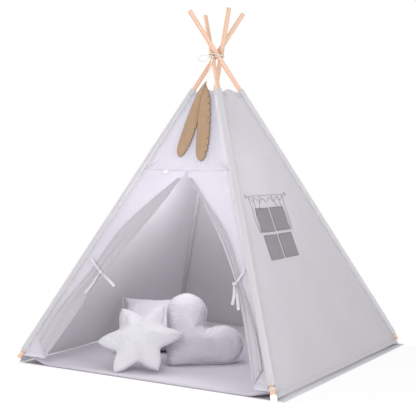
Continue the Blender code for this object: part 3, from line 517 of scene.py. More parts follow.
def twistedCord(name, points, diameter, finish, strands=3, pitch=None, gap=None):
    # Strands laid round each other along the route
    pitch = pitch or diameter * 2.6
    gap = gap or diameter * 0.26
    route, places = evenPoints(points, gap)
    first, second = turningFrames(route)
    strandRadius = diameter / 2 / (1 + 1 / math.sin(math.pi / strands)) * 1.08
    reach = diameter / 2 - strandRadius
    vertices, faces, clothMap = [], [], []
    for s in range(strands):
        angle = 2 * math.pi * (places / pitch + s / strands)
        strand = route + reach * (np.cos(angle)[:, None] * first + np.sin(angle)[:, None] * second)
        taper = np.ones(len(route)) * strandRadius
        tubeParts(strand, places + s * 0.37, taper, 7, vertices, faces, clothMap)
    mesh = meshFrom(name, vertices, faces, clothMap)
    return link(name, mesh, finish), route


def plainTube(name, points, diameter, finish, sides=10, gap=None, taper=None):
    route, places = evenPoints(points, gap or diameter * 0.6)
    radii = np.ones(len(route)) * diameter / 2
    if taper is not None:
        radii = radii * np.array([taper(p / places[-1]) for p in places])
    vertices, faces, clothMap = [], [], []
    tubeParts(route, places, radii, sides, vertices, faces, clothMap)
    return link(name, meshFrom(name, vertices, faces, clothMap), finish)


def smoothStep(value):
    value = min(max(value, 0.0), 1.0)
    return value * value * (3 - 2 * value)


def smoothRoute(points, steps):
    route = [Vector(p) for p in points]
    ends = [2 * route[0] - route[1]] + route + [2 * route[-1] - route[-2]]
    result = []
    for a, b, c, d in zip(ends, ends[1:], ends[2:], ends[3:]):
        square, cube = 2 * a - 5 * b + 4 * c - d, 3 * b - a - 3 * c + d
        for t in (k / steps for k in range(steps)):
            result.append(0.5 * (2 * b + (c - a) * t + square * t * t + cube * t * t * t))
    return result + [route[-1]]


def softNoise(x, y, z, scale, detail=3):
    # Smooth noise about zero, the same on every run
    return noise.fractal(Vector((x * scale, y * scale, z * scale)), 0.9, 2.0, detail, noise_basis="PERLIN_NEW")


# Frame lines, the same as the solids have
frameSizes = {
    "footSpan": 1.100,
    "crossingHeight": 1.163,
    "crossingOffset": 0.0173,
    "poleRadius": 0.009,
    "fitGap": 0.0003,
    "sleeveRadius": 0.014,
    "sleeveBottom": 0.050,
    "sleeveTop": 1.030,
}
corners = {"front_left": (-1, -1), "front_right": (1, -1), "back_right": (1, 1), "back_left": (-1, 1)}


def foot(corner):
    x, y = corners[corner]
    return Vector((x * frameSizes["footSpan"] / 2, y * frameSizes["footSpan"] / 2, 0))


def crossing(corner):
    x, y = corners[corner]
    offset = frameSizes["crossingOffset"] / math.sqrt(2)
    return Vector((y * offset, -x * offset, frameSizes["crossingHeight"]))


footPoints = {corner: foot(corner) for corner in corners}
crossPoints = {corner: crossing(corner) for corner in corners}


def polePoint(corner, height):
    return footPoints[corner].lerp(crossPoints[corner], height / frameSizes["crossingHeight"])


def poleRise(corner):
    return (crossPoints[corner] - footPoints[corner]).normalized()


def poleFrame(corner):
    centre, rise = crossPoints[corner], poleRise(corner)
    outwards = footPoints[corner] - centre
    outwards.z = 0
    hinge = up.cross(outwards.normalized())
    side = hinge.cross(rise)
    return Matrix.Translation(centre) @ Matrix((side, hinge, rise)).transposed().to_4x4()


def alongPole(corner, height):
    whole = (crossPoints[corner] - footPoints[corner]).length
    return (height - frameSizes["crossingHeight"]) * whole / frameSizes["crossingHeight"]


def faceNormal(first, second):
    run = footPoints[second] - footPoints[first]
    rise = crossPoints[first] + crossPoints[second] - footPoints[first] - footPoints[second]
    return run.cross(rise).normalized()


def sleeveInset(corner, other, height):
    run = (polePoint(other, height) - polePoint(corner, height)).normalized()
    return (frameSizes["sleeveRadius"] + frameSizes["fitGap"]) / math.sqrt(1 - run.dot(poleRise(corner)) ** 2)


def facePoint(first, second, place, height, outwards=0.0):
    start, end = polePoint(first, height), polePoint(second, height)
    return start + (end - start).normalized() * place + faceNormal(first, second) * outwards


def faceWidth(first, second, height):
    return (polePoint(second, height) - polePoint(first, height)).length


# Cloth on each half of a face rides on the pole it is sewn to
def gatherToPole(piece, corner):
    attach(piece, "leg_" + corner)
    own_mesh(piece)


# Poles and caps keep their solids
for corner in corners:
    wood = pineFinish("pine_" + corner, poleFrame(corner))
    for node, finish in (("pole_" + corner, wood), ("foot_cap_" + corner, finishes["rubber"])):
        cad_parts[node].data.materials.clear()
        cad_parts[node].data.materials.append(finish)
print("poles and caps finished")


# Cord paths: the lashing goes round the bundle of poles, and the pendants hang from a knot on its front
lashing = {
    "wrap": 0.0024,
    "tilt": 0.0065,
    "diameter": 0.0030,
    "pitch": 0.0037,
    "turns": 4,
    "clearance": 0.0015,
    "steps": 72,
    "knotStrand": 0.0022,
    "bowReach": 0.048,
    "bowDrop": 0.016,
}
pendant = {
    "stringDiameter": 0.0020,
    "hangerRadius": 0.0035,
    "hangerStrand": 0.0020,
    "length": 0.318,
    "width": 0.056,
    "thickness": 0.0026,
    "standoff": 0.0042,
    "layerGap": 0.0005,
    "tops": {"left": (-0.006, 1.060, 0, math.radians(-5.5)), "right": (0.006, 1.040, 1, math.radians(11.0))},
}


def bundleReach(angle, height):
    direction = Vector((math.cos(angle), math.sin(angle), 0))
    reach = 0.0
    for corner in corners:
        rise = poleRise(corner)
        stretch = rise.x * direction.x + rise.y * direction.y
        oval = frameSizes["poleRadius"] * math.sqrt(1 + (stretch / rise.z) ** 2)
        reach = max(reach, polePoint(corner, height).dot(direction) + oval)
    return reach


def wrapRadius(angle, height):
    offset = lashing["diameter"] / 2 + lashing["clearance"]
    spread = [math.pi * (k - 14) / 36 for k in range(29)]
    return min((bundleReach(angle + turn, height) + offset) / math.cos(turn) for turn in spread)


def hangerPlace():
    height = frameSizes["crossingHeight"] - lashing["pitch"] * (lashing["turns"] / 2 - 0.75)
    front = wrapRadius(-math.pi / 2, height)
    return Vector((0, -front - lashing["diameter"] / 2 - pendant["hangerRadius"] - frameSizes["fitGap"], height))


def frontPoint(x, height, outwards=0.0):
    half = faceWidth("front_left", "front_right", height) / 2
    return facePoint("front_left", "front_right", half + x, height, outwards)


def featherFrame(x, topHeight, layer, lean):
    normal = faceNormal("front_left", "front_right")
    across = Vector((1, 0, 0))
    rise = across.cross(-normal)
    out = pendant["standoff"] + layer * (pendant["thickness"] + pendant["layerGap"])
    rotation = Matrix((across, -normal, rise)).transposed().to_4x4()
    return Matrix.Translation(frontPoint(x, topHeight, out)) @ rotation @ Matrix.Rotation(lean, 4, (0, -1, 0))


def stringRoute(word):
    x, topHeight, layer, lean = pendant["tops"][word]
    gap = frameSizes["fitGap"]
    top = featherFrame(x, topHeight, layer, lean) @ Vector((0, 0, 2 * gap))
    aside = math.copysign(pendant["stringDiameter"] / 2 + gap, x)
    drop = math.sqrt(pendant["hangerRadius"] ** 2 - aside**2) + 2 * gap
    hang = hangerPlace() + Vector((aside, 0, -drop))
    return smoothRoute([hang, hang.lerp(top, 0.35) - up * pendant["stringDiameter"], hang.lerp(top, 0.7), top], 8)


def knotBall(name, centre, radius, strand, turns, seed):
    # A small overhand knot: the cord winds over itself round a ball
    points, wind = [], radius - strand * 0.5
    for t in (k / 59 for k in range(60)):
        lift, angle = math.pi * (0.16 + 0.68 * t), 2 * math.pi * turns * t + seed
        spot = Vector((math.sin(lift) * math.cos(angle), math.sin(lift) * math.sin(angle), math.cos(lift)))
        points.append(centre + spot * wind)
    return twistedCord(name, points, strand, finishes["cord"], strands=2)[0]


def dressString(word):
    size = pendant["stringDiameter"]
    string, path = twistedCord("pendantString_" + word, stringRoute(word), size, finishes["cord"])
    length = float(np.linalg.norm(np.diff(path, axis=0), axis=1).sum())
    seat(string, "pendant_" + word, "feather_string_" + word)
    path = [tuple(p) for p in path]
    print("pendant string", word, round(length, 4), "m")


dressString("left")
dressString("right")
hangerKnot = knotBall("hangerKnot", hangerPlace(), pendant["hangerRadius"], pendant["hangerStrand"], 3.5, 0.4)
seat(hangerKnot, "pendants", "feather_knot")


def lashingRoute():
    points, half = [], lashing["turns"] / 2
    for k in range(lashing["turns"] * lashing["steps"] + 1):
        turn = k / lashing["steps"]
        angle = 2 * math.pi * turn
        crossed = smoothStep((turn - half) * 2 + 0.5)
        tilt = lashing["tilt"] * (1 - 2 * crossed) * math.sin(angle + 0.9)
        height = frameSizes["crossingHeight"] + lashing["pitch"] * (turn - half) * (1 - 0.5 * crossed) + tilt
        radius = wrapRadius(angle, height) + lashing["wrap"] * 0.9 * crossed
        points.append(Vector((radius * math.cos(angle), radius * math.sin(angle), height)))
    return points


def dressLashing():
    # Wound round the poles, knotted at the back, with one bow loop that hangs and one that stands
    size, gap, height = lashing["diameter"], frameSizes["fitGap"], frameSizes["crossingHeight"]
    start = wrapRadius(math.pi, height) + size + gap
    aside, near = 0.6 * size, start + 1.3 * size + 2 * gap
    reach, drop = lashing["bowReach"], lashing["bowDrop"]
    hanging = [
        (-near, -aside, height),
        (-near - 0.45 * reach, -0.25 * reach, height + 0.25 * drop),
        (-near - 0.95 * reach, -0.15 * reach, height - 0.35 * drop),
        (-near - 0.90 * reach, 0.12 * reach, height - drop),
        (-near - 0.45 * reach, 0.20 * reach, height - drop),
        (-near, aside, height - aside / 2),
    ]
    standing = [
        (-near + 0.002, aside, height + 0.001),
        (-near - 0.10 * reach, 0.10 * reach, height + 0.30 * reach),
        (-near + 0.16 * reach, -0.30 * reach, height + 0.52 * reach),
        (-near + 0.34 * reach, -0.52 * reach, height + 0.36 * reach),
        (-near + 0.18 * reach, -0.40 * reach, height + 0.10 * reach),
        (-near + 0.002, -aside, height - 0.001),
    ]
    thick, yarn = lashing["wrap"], finishes["cord"]
    seat(twistedCord("lashingWrap", lashingRoute(), thick, yarn)[0], "tent_top", "lashing_cord")
    knot = knotBall("lashingKnot", Vector((-start - size / 2, 0, height)), size, lashing["knotStrand"], 2.6, 1.1)
    seat(knot, "tent_top", "lashing_knot")
    for name, points, size in (("lashingBow", hanging, thick), ("lashingBowSecond", standing, thick * 0.8)):
        seat(twistedCord(name, smoothRoute(points, 8), size, yarn)[0], "tent_top", "lashing_loop")


dressLashing()
print("lashing and hanger done")

# Cover: three panels, each in two halves that fold with the pole beside them
cover = {
    "cloth": 0.0016,
    "hem": 0.012,
    "farHem": 0.003,
    "frontHem": 0.034,
    "neck": 1.017,
    "neckRise": 0.015,
    "sag": 0.010,
    "ripple": 0.0035,
    "ripples": 2.5,
    "fold": 0.0016,
    "seamBottom": 0.730,
    "hemShares": (0.0, 0.004, 0.009, 0.0145, 0.0165, 0.0185, 0.022),
    "cut": (frameSizes["footSpan"] / 2, 1.12),
}
yoke = {"overlap": 0.004, "lift": 0.0012, "crest": -0.0012, "blend": 0.0008, "fade": 0.02, "cut": (0.20, 0.33)}


def neckHeight(share):
    return cover["neck"] + cover["neckRise"] * math.sin(math.pi * share)


def slack(share, height):
    rise = height / cover["neck"]
    belly = math.sin(math.pi * share) * math.sin(math.pi * min(max(rise, 0), 1))
    ripple = math.sin(math.pi * share) * math.sin(2 * math.pi * cover["ripples"] * share)
    return -cover["sag"] * belly + cover["ripple"] * ripple * max(1 - rise, 0)


slant = math.hypot(frameSizes["crossingHeight"], frameSizes["footSpan"] / 2) / frameSizes["crossingHeight"]


def softFolds(u, v, width, seed):
    # Long shallow folds that run down from the neck, and short pulls beside the sleeves
    fan = u / max(width, 0.05)
    long = softNoise(fan * 2.6, v * 0.55 + seed, seed, 1.0)
    small = softNoise(u * 9, v * 3.2, seed + 4, 1.0, 2)
    edge = max(1 - 2 * abs(fan), 0)
    pulls = math.exp(-edge / 0.10) * math.sin(v * 2 * math.pi / 0.055 + 3 * softNoise(u, v, seed + 9, 7.0)) * edge * 6
    return cover["fold"] * (1.5 * long + 0.5 * small) * min(edge * 5, 1) + 0.0006 * pulls


def hemRelief(distance, width=0.018, rise=0.0005):
    # A folded hem stands a little proud of the cloth, and dips along its line of stitches
    proud = rise * smoothStep((width - distance) / 0.0015)
    return proud - 0.0004 * math.exp(-((distance - width + 0.003) / 0.0012) ** 2)


def heldBack(point, height, toSleeve):
    # The yoke stays under the plane that the feathers swing in, away from its sleeves and its lower seam
    normal = faceNormal("front_left", "front_right")
    over = (point - frontPoint(0, height, yoke["crest"])).dot(normal)
    press = (over + math.hypot(over, yoke["blend"])) / 2
    clear = smoothStep((height - cover["seamBottom"]) / yoke["fade"] - 0.5)
    return point - normal * press * smoothStep(toSleeve / yoke["fade"]) * clear


def closeAtHem(rows):
    # Shares of the height, close together over the folded hem and even above it
    last = cover["hemShares"][-1]
    return [*cover["hemShares"], *(last + (1 - last) * k / rows for k in range(1, rows + 1))]


def coverHalf(name, first, second, side, bottom, rows, columns, finish, seed, folds=1.0, held=False):
    # side 0 is the half beside the first pole, side 1 the half beside the second
    made = []
    for part in closeAtHem(rows):
        row = []
        for j in range(columns + 1):
            share = (side + j / columns) / 2
            top = neckHeight(share)
            height = bottom + (top - bottom) * part
            whole, start = faceWidth(first, second, height), sleeveInset(first, second, height)
            end = whole - sleeveInset(second, first, height)
            place = start + share * (end - start)
            u, v = place - whole / 2, (height - bottom) * slant
            toSide, toHem = min(share, 1 - share) * (end - start), min(v, (top - height) * slant)
            out = slack(share, height) + folds * softFolds(u, v + bottom, end - start, seed) + hemRelief(toHem)
            point = facePoint(first, second, place, height, out)
            if held:
                point = heldBack(point, height, toSide)
            row.append((point, (u, v), (v, toSide) if toSide < toHem else (u, toHem - 0.006)))
        made.append(row)
    return clothSheet(name, made, cover["cloth"], finish)


def sewToPole(half, corner, node, cut):
    gatherToPole(half, corner)
    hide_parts(node)
    declareCloth(half, *cut, "stretched", ["poleSleeve_" + corner])


def dressPanel(word, first, second, seed):
    bottom = cover["hem" if word == "right" else "farHem"]
    for side, corner, other in ((0, first, second), (1, second, first)):
        name = "cover_%s_%d" % (word, side)
        half = coverHalf(name, first, second, side, bottom, 64, 26, finishes["cover"], seed)
        sewToPole(half, corner, "panel_" + word, cover["cut"])


dressPanel("right", "front_right", "back_right", 1.0)
dressPanel("back", "back_right", "back_left", 3.0)
dressPanel("left", "back_left", "front_left", 5.0)
print("side and back panels sewn")


def dressYoke():
    first, second = "front_left", "front_right"
    bottom = cover["seamBottom"] - yoke["overlap"]
    for side, corner, other in ((0, first, second), (1, second, first)):
        half = coverHalf("yoke_%d" % side, first, second, side, bottom, 26, 14, finishes["front"], 7.0, 0.3, True)
        half.data.transform(Matrix.Translation(faceNormal(first, second) * yoke["lift"]))
        sewToPole(half, corner, "front_yoke", yoke["cut"])


dressYoke()

# Sleeves: a sewn tunnel round each pole, gathered in at its two ends, with a seam along each panel
sleeve = {
    "around": 44,
    "rings": 150,
    "endSteps": (0.0, 0.0015, 0.003, 0.005, 0.0075, 0.0105),
    "slack": 0.0009,
    "cloth": 0.0012,
    # Painted shade: the floor's colour turns grey inside the tent's footprint
    "seamRise": 0.0011,
    "seamWidth": 0.0016,
    "creaseRise": 0.0007,
    "creasePitch": 0.048,
    "endLength": 0.010,
    "unrolled": 0.088,
}


def dressSleeve(corner):
    place = poleFrame(corner)
    inverse = place.inverted()
    low, high = alongPole(corner, frameSizes["sleeveBottom"]), alongPole(corner, frameSizes["sleeveTop"])
    x, y = corners[corner]
    seams = []
    for other, (ox, oy) in corners.items():
        if (ox == x) != (oy == y):
            way = inverse.to_3x3() @ (footPoints[other] - footPoints[corner])
            seams.append(math.atan2(way.y, way.x))
    around, rings, length, wide = sleeve["around"], sleeve["rings"], high - low, frameSizes["sleeveRadius"]
    ends = sleeve["endSteps"]
    runs = [ends[-1] + (length - 2 * ends[-1]) * k / rings for k in range(1, rings)]
    runs = [*ends, *runs, *(length - e for e in ends[::-1])]
    outer, inner, clothMap, sewMap = [], [], [], []
    bore = frameSizes["poleRadius"] + frameSizes["fitGap"] * 2
    for run in runs:
        toEnd = min(run, length - run)
        gather = 1 - smoothStep(toEnd / sleeve["endLength"])
        for k in range(around + 1):
            angle = 2 * math.pi * k / around
            toSeam = min(abs(math.remainder(angle - seam, 2 * math.pi)) for seam in seams)
            ridge = math.exp(-((toSeam * wide / sleeve["seamWidth"]) ** 2))
            crease = softNoise(math.cos(angle) * 0.5, math.sin(angle) * 0.5, run * 9 + x * 3 + y * 5, 2.2)
            pull = math.sin(run * 2 * math.pi / sleeve["creasePitch"] + 4 * crease) * math.exp(-toSeam * 1.6)
            radius = wide - sleeve["slack"] + sleeve["seamRise"] * ridge
            radius += sleeve["creaseRise"] * (crease + 0.55 * pull)
            pleat = 0.5 + 0.5 * math.sin(angle * 9 + x)
            radius -= gather * (radius - bore - 0.0022 - 0.0010 * pleat)
            direction, rise = Vector((math.cos(angle), math.sin(angle), 0)), Vector((0, 0, low + run))
            outer.append(place @ (direction * radius + rise))
            inner.append(place @ (direction * (radius - sleeve["cloth"]) + rise))
            clothMap.append((angle * wide, run))
            sewMap.append((run, toSeam * wide + 0.0055) if toEnd > 0.02 else (angle * wide, toEnd))
    rows, columns = len(runs), around + 1
    count = rows * columns
    faces = gridFaces(rows, columns) + gridFaces(rows, columns, count, True)
    for j in range(around):
        faces.append((j, j + count, j + 1 + count, j + 1))
        top = (rows - 1) * columns + j
        faces.append((top, top + 1, top + 1 + count, top + count))
    mesh = meshFrom("sleeve", outer + inner, faces, clothMap * 2, sewMap * 2)
    facesOut(mesh, 1e-6)
    piece = link("poleSleeve_" + corner, mesh, finishes["sleeve"])
    seat(piece, "leg_" + corner, "sleeve_" + corner)
    declareCloth(piece, sleeve["unrolled"], length, "stretched", ["pole_" + corner])


for corner in corners:
    dressSleeve(corner)
print("sleeves sewn")


# Door: places across the front, as shares of its half width less the inset, for heights that fall from the apex
door = {
    "apex": 0.708,
    "foot": 0.040,
    "heights": (1.0, 0.87, 0.69, 0.457, 0.225, 0.0),
    "left": {
        "inset": 0.117,
        "edge": (0.02, 0.150, 0.353, 0.623, 0.797, 1.0),
        "hem": (0.05, 0.285, 0.556, 0.768, 1.010, 1.165),
    },
    "right": {
        "inset": 0.066,
        "edge": (0.02, 0.213, 0.447, 0.688, 0.856, 1.0),
        "hem": (0.05, 0.245, 0.520, 0.742, 0.945, 1.090),
    },
}
sides = {-1: "left", 1: "right"}
frontCorners = {-1: ("front_left", "front_right"), 1: ("front_right", "front_left")}


def between(table, keys, key):
    if key >= keys[0]:
        return table[0]
    if key <= keys[-1]:
        return table[-1]
    index = next(i for i in range(len(keys) - 1) if key >= keys[i + 1])
    before, after = max(index - 1, 0), min(index + 2, len(keys) - 1)
    span = keys[index + 1] - keys[index]
    part = (key - keys[index]) / span
    riseIn = (table[index + 1] - table[before]) / (keys[index + 1] - keys[before]) * span
    riseOut = (table[after] - table[index]) / (keys[after] - keys[index]) * span
    square, cube = part * part, part * part * part
    first = table[index] * (2 * cube - 3 * square + 1) + riseIn * (cube - 2 * square + part)
    return first + table[index + 1] * (3 * square - 2 * cube) + riseOut * (cube - square)


def doorHeight(share):
    return door["foot"] + (door["apex"] - door["foot"]) * share


doorLevels = [doorHeight(share) for share in door["heights"]]
frontWidth = faceWidth("front_left", "front_right", door["foot"]) / 2


def acrossFront(side, line, height):
    shape = door[sides[side]]
    return between(shape[line], doorLevels, height) * (frontWidth - shape["inset"])


def doorEdge(side, height):
    return acrossFront(side, "edge", height)


def frontReach(side, height):
    corner, other = frontCorners[side]
    return faceWidth(corner, other, height) / 2 - sleeveInset(corner, other, height)


def curtainHem(side, height):
    return min(acrossFront(side, "hem", height), frontReach(side, height) - cover["cloth"])


def frontSlack(x, height):
    left, right = frontReach(-1, height), frontReach(1, height)
    return slack(min(max((x + left) / (left + right), 0), 1), height)


frontHalf = {
    "rows": 90,
    "columns": 26,
    "seamGap": 0.0006,
    "tiePoint": (0.31, 0.37),
    "pull": 0.0012,
    "pullReach": 0.11,
    "keep": 0.10,
    "cuts": {-1: (0.30, 0.79), 1: (0.22, 0.79)},
}


def dressFrontHalf(side, word):
    corner, other = frontCorners[side]
    bottom, top, columns = cover["frontHem"], cover["seamBottom"] - frontHalf["seamGap"], frontHalf["columns"]
    made = []
    for part in closeAtHem(frontHalf["rows"]):
        height = bottom + (top - bottom) * part
        outer, inner = frontReach(side, height), doorEdge(side, height)
        row = []
        for j in range(columns + 1):
            x = side * (outer + (inner - outer) * (j / columns))
            toDoor, toSleeve, toHem = abs(abs(x) - inner), abs(outer - abs(x)), (height - bottom) * slant
            nearest = min(toDoor, toSleeve, toHem)
            # The cloth pulls in soft creases towards the tie
            aside, above = abs(x) - frontHalf["tiePoint"][0], (height - frontHalf["tiePoint"][1]) * slant
            toTie = math.hypot(aside, above)
            pull = frontHalf["pull"] * math.sin(7 * math.atan2(above, aside) + 2 * softNoise(x, height, 3, 6))
            pull *= math.exp(-toTie / frontHalf["pullReach"]) * smoothStep(toTie / 0.03)
            fold = 0.0009 * softNoise(x * 5, height * 2.6, side * 3 + 8, 1.0) * min(nearest / 0.03, 1)
            out = frontSlack(x, height) + fold + pull * min(nearest / 0.02, 1) + hemRelief(min(toHem, toDoor + 0.004))
            sewn = (x, toHem - 0.006) if nearest == toHem else (toHem, nearest)
            row.append((frontPoint(x, height, out), (x, toHem), sewn))
        made.append(row[::-side])
    half = clothSheet("frontHalf_" + word, made, cover["cloth"], finishes["front"])
    sewToPole(half, corner, "front_half_" + word, frontHalf["cuts"][side])


# Curtains: each side of the door is drawn aside and tied; it hangs in folds that meet at the tie. The draw values
# are the line that the drawn cloth slides away from, and how far beyond it the slide begins and is whole
curtain = {
    "rows": 110,
    "columns": 44,
    "cloth": 0.0014,
    "tieHeight": 0.345,
    "full": 0.009,
    "least": 0.0022,
    "pinch": 0.45,
    "pinchRun": 0.045,
    "folds": 2.5,
    "footRise": 0.050,
    "drawTop": (0.008, -0.21, 0.708),
    "drawFoot": (0.414, -0.53, 0.040),
    "drawStart": 0.029,
    "drawEnd": 0.085,
    "cuts": {-1: (0.14, 0.78), 1: (0.08, 0.78)},
}


def nearTie(height, run):
    return math.exp(-(((height - curtain["tieHeight"]) / run) ** 2))


def bulge(height):
    # How far the cloth can stand out: nothing at the apex, and less where the tie pinches it
    rise = smoothStep((door["apex"] - height) / (door["apex"] - curtain["tieHeight"]))
    return curtain["full"] * (1 - curtain["pinch"] * nearTie(height, curtain["pinchRun"])) * rise


def curtainStand(share, height):
    near, wide = nearTie(height, curtain["pinchRun"]), nearTie(height, 0.17)
    wander = 0.10 * math.sin(height * 11 + share * 2) * (1 - near)
    fold = 0.5 - 0.5 * math.cos(2 * math.pi * curtain["folds"] * (share + wander * share * (1 - share) * 4))
    depth = 0.50 + 0.50 * wide
    share = min(max(share, 0), 1)
    roundOff = math.sin(math.pi * share) ** 0.5
    if share > 0.5:
        # The outer fold stays full and drops steeply, except where the tie pinches it
        roundOff += (math.sqrt(1 - (2 * share - 1) ** 10) - roundOff) * (1 - wide)
    return curtain["least"] + bulge(height) * roundOff * (1 - depth * 0.62 * (1 - fold))


def dressCurtain(side, word):
    rows, columns, top = curtain["rows"], curtain["columns"], doorHeight(0.985)
    made = []
    for i in range(rows + 1):
        row = []
        for j in range(columns + 1):
            share = j / columns
            low = door["foot"] + curtain["footRise"] * share
            height = low + (top - low) * i / rows
            edge, hem = doorEdge(side, height), curtainHem(side, height)
            x, width, run = side * (edge + (hem - edge) * share), abs(hem - edge), (height - low) * slant
            gather = 0.0010 * nearTie(height, 0.030) * math.sin(share * 46 + 3 * math.sin(height * 60))
            creases = 0.0009 * softNoise(share * 3.2, height * 5.5, side * 2 + 5, 1.0)
            fine = (gather + creases) * math.sin(math.pi * share)
            out = frontSlack(x, height) + cover["cloth"] + curtainStand(share, height) + fine
            toHem = min(run, share * width + 0.001, (1 - share) * width + 0.001)
            flat, sewn = (share * max(width, 0.03) * 1.15, run), (run if toHem < run else x, toHem + 0.001)
            row.append((frontPoint(x, height, out), flat, sewn))
        made.append(row[::side])
    piece = clothSheet("doorCurtain_" + word, made, curtain["cloth"], finishes["curtain"])
    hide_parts("door_curtain_" + word)
    # The line that the untied cloth would slide from, and where its slide would begin and be whole, are worked out
    # but not used
    top, foot = (Vector((side * x, y, z)) for x, y, z in (curtain["drawTop"], curtain["drawFoot"]))
    outwards = faceNormal("front_left", "front_right").cross((foot - top).normalized())
    outwards = outwards if outwards.x * side > 0 else -outwards
    start, end = (tuple(top + outwards * curtain[key]) for key in ("drawStart", "drawEnd"))
    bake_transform(piece)
    declareCloth(piece, *curtain["cuts"][side], "gathered", ["frontHalf_" + word])


for side, word in sides.items():
    dressFrontHalf(side, word)
    dressCurtain(side, word)
print("front and door curtains hung")

# Ribbon ties: a band round the gathered curtain, a knot at the door's edge and two loose ends
tie = {
    "width": 0.010,
    "thickness": 0.0010,
    "run": 0.045,
    "start": 1.15,
    "end": 0.08,
    "knot": 0.0085,
    "winds": 2.2,
    "tail": 0.085,
    "forward": 0.15,
    "layer": 0.0024,
    "ribbon": 0.0008,
    "wound": 0.62,
    "tails": {"left": ((-0.35, 0.80), (0.98, 0.45)), "right": ((0.20, 0.68), (0.50, 0.86))},
}


def crestOut(share, height):
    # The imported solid's crest, which the band lies over
    roundOff = math.sin(math.pi * min(max(share, 0), 1)) ** 0.5
    return cover["cloth"] / 2 + frameSizes["fitGap"] + curtain["least"] + bulge(height) * roundOff


def bandOut(share, height):
    steps = range(-4, 5)
    crest = max(crestOut(share + 0.12 * i / 4, height + tie["width"] * k / 4) for i in steps for k in steps)
    return crest + cover["cloth"] / 4 + tie["thickness"] / 2 + 2 * frameSizes["fitGap"]


def ribbonStrip(name, word, points, across, width=tie["width"], cup=0.0004, gather=None):
    made, run, columns = [], 0.0, 6
    for i, (point, direction) in enumerate(zip(points, across)):
        if i:
            run += (points[i] - points[i - 1]).length
        ahead = points[min(i + 1, len(points) - 1)] - points[max(i - 1, 0)]
        face = ahead.cross(direction).normalized()
        wide = width * (gather(i / (len(points) - 1)) if gather else 1.0)
        row = []
        for j in range(columns + 1):
            place = j / columns - 0.5
            arched = cup * (1 - 4 * place * place) * (1 if j % 2 else 0.75)
            spot = point + direction * (place * wide) + face * arched
            row.append((spot, (place * width, run), (run, (0.5 - abs(place)) * width)))
        made.append(row)
    strip = clothSheet(name, made, tie["ribbon"], finishes["ribbon"])
    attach(strip, "tie_" + word)
    return strip


def intoKnot(part):
    return 1 - 0.45 * smoothStep((part - 0.75) / 0.25)


def outOfKnot(part):
    return 0.55 + 0.45 * smoothStep(part / 0.22)


def dressBand(side, word):
    steps, outwards = 40, faceNormal("front_left", "front_right")
    hem, edge = curtainHem(side, curtain["tieHeight"]), doorEdge(side, curtain["tieHeight"])
    points = []
    for k in range(steps + 1):
        share = tie["start"] + (tie["end"] - tie["start"]) * k / steps
        height = curtain["tieHeight"] + tie["run"] * (share - tie["end"])
        x = side * min(edge + (hem - edge) * share, frontReach(side, height) - tie["width"])
        points.append(frontPoint(x, height, frontSlack(x, height) + bandOut(share, height)))
    points = [Vector(p) for p in evenPoints(points, 0.002)[0]]
    runs = [points[min(k + 1, len(points) - 1)] - points[max(k - 1, 0)] for k in range(len(points))]
    across = [run.cross(outwards).normalized() for run in runs]
    band = ribbonStrip("tieBand_" + word, word, points, across, cup=0.0002, gather=intoKnot)
    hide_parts("tie_band_" + word)
    # The knot sits where the band ends
    rise = tie["knot"] - tie["thickness"]
    along = math.sqrt((tie["knot"] + frameSizes["fitGap"]) ** 2 - rise**2)
    return points[-1] + outwards * (rise + tie["thickness"] / 2) + (points[-1] - points[-2]).normalized() * along


def dressKnot(side, word, knot):
    # Ribbon wound twice round a creased core, with pinched folds
    spots, turns = [], []
    for k in range(49):
        angle = 2 * math.pi * tie["winds"] * k / 48
        tilted = Matrix.Rotation(0.9 * math.sin(math.pi * 2 * k / 48), 3, "X")
        wind = tilted @ Vector((math.cos(angle), math.sin(angle) * 0.85, 0))
        spots.append(knot + wind * (tie["knot"] * tie["wound"]))
        turns.append(tilted @ up)
    ribbonStrip("tieWind_" + word, word, spots, turns, tie["width"] * 0.95, cup=0.0008)
    core = bmesh.new()
    bmesh.ops.create_icosphere(core, subdivisions=4, radius=tie["knot"])
    for vert in core.verts:
        p = vert.co.normalized()
        crease = abs(math.sin(5 * math.atan2(p.y, p.x) + 4 * p.z)) ** 0.5
        vert.co *= 0.72 + 0.13 * crease + 0.05 * softNoise(p.x, p.y, p.z + side, 2.5)
        vert.co += knot
    mesh = bpy.data.meshes.new("tieKnot_" + word)
    core.to_mesh(mesh)
    core.free()
    away = [vert.co - knot for vert in mesh.vertices]
    addMaps(mesh, [(math.atan2(p.y, p.x) * tie["knot"], p.z) for p in away], [(p.z, 0.003) for p in away])
    seat(link("tieKnot_" + word, mesh, finishes["ribbon"]), "tie_" + word, "tie_knot_" + word)


def dressTail(word, number, swing, drop, knot):
    outwards = faceNormal("front_left", "front_right")
    heading = Vector((swing, -frameSizes["footSpan"] / 2 / frameSizes["crossingHeight"] * drop, -drop))
    along, flat = heading.normalized(), heading.cross(outwards).normalized()
    start = knot + along * (tie["knot"] * 0.75)
    start.y += (number - 1.5) * tie["layer"]
    points, turns = [], []
    for part in (k / 28 for k in range(29)):
        curl = Vector((0, -tie["forward"] * part * part, 0))
        wave = outwards * (0.0012 * math.sin(part * 7 + number))
        points.append(start + (heading * part + curl) * tie["tail"] + wave)
        turns.append((Matrix.Rotation(0.35 * math.sin(part * 4 + number), 3, along) @ flat).normalized())
    tail = ribbonStrip("tieTail_%s_%d" % (word, number), word, points, turns, gather=outOfKnot)
    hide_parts("tie_tail_%s_%d" % (word, number))


for side, word in sides.items():
    knot = dressBand(side, word)
    dressKnot(side, word, knot)
    for number, (swing, drop) in enumerate(tie["tails"][word], start=1):
        dressTail(word, number, swing, drop, knot)
print("ties knotted")

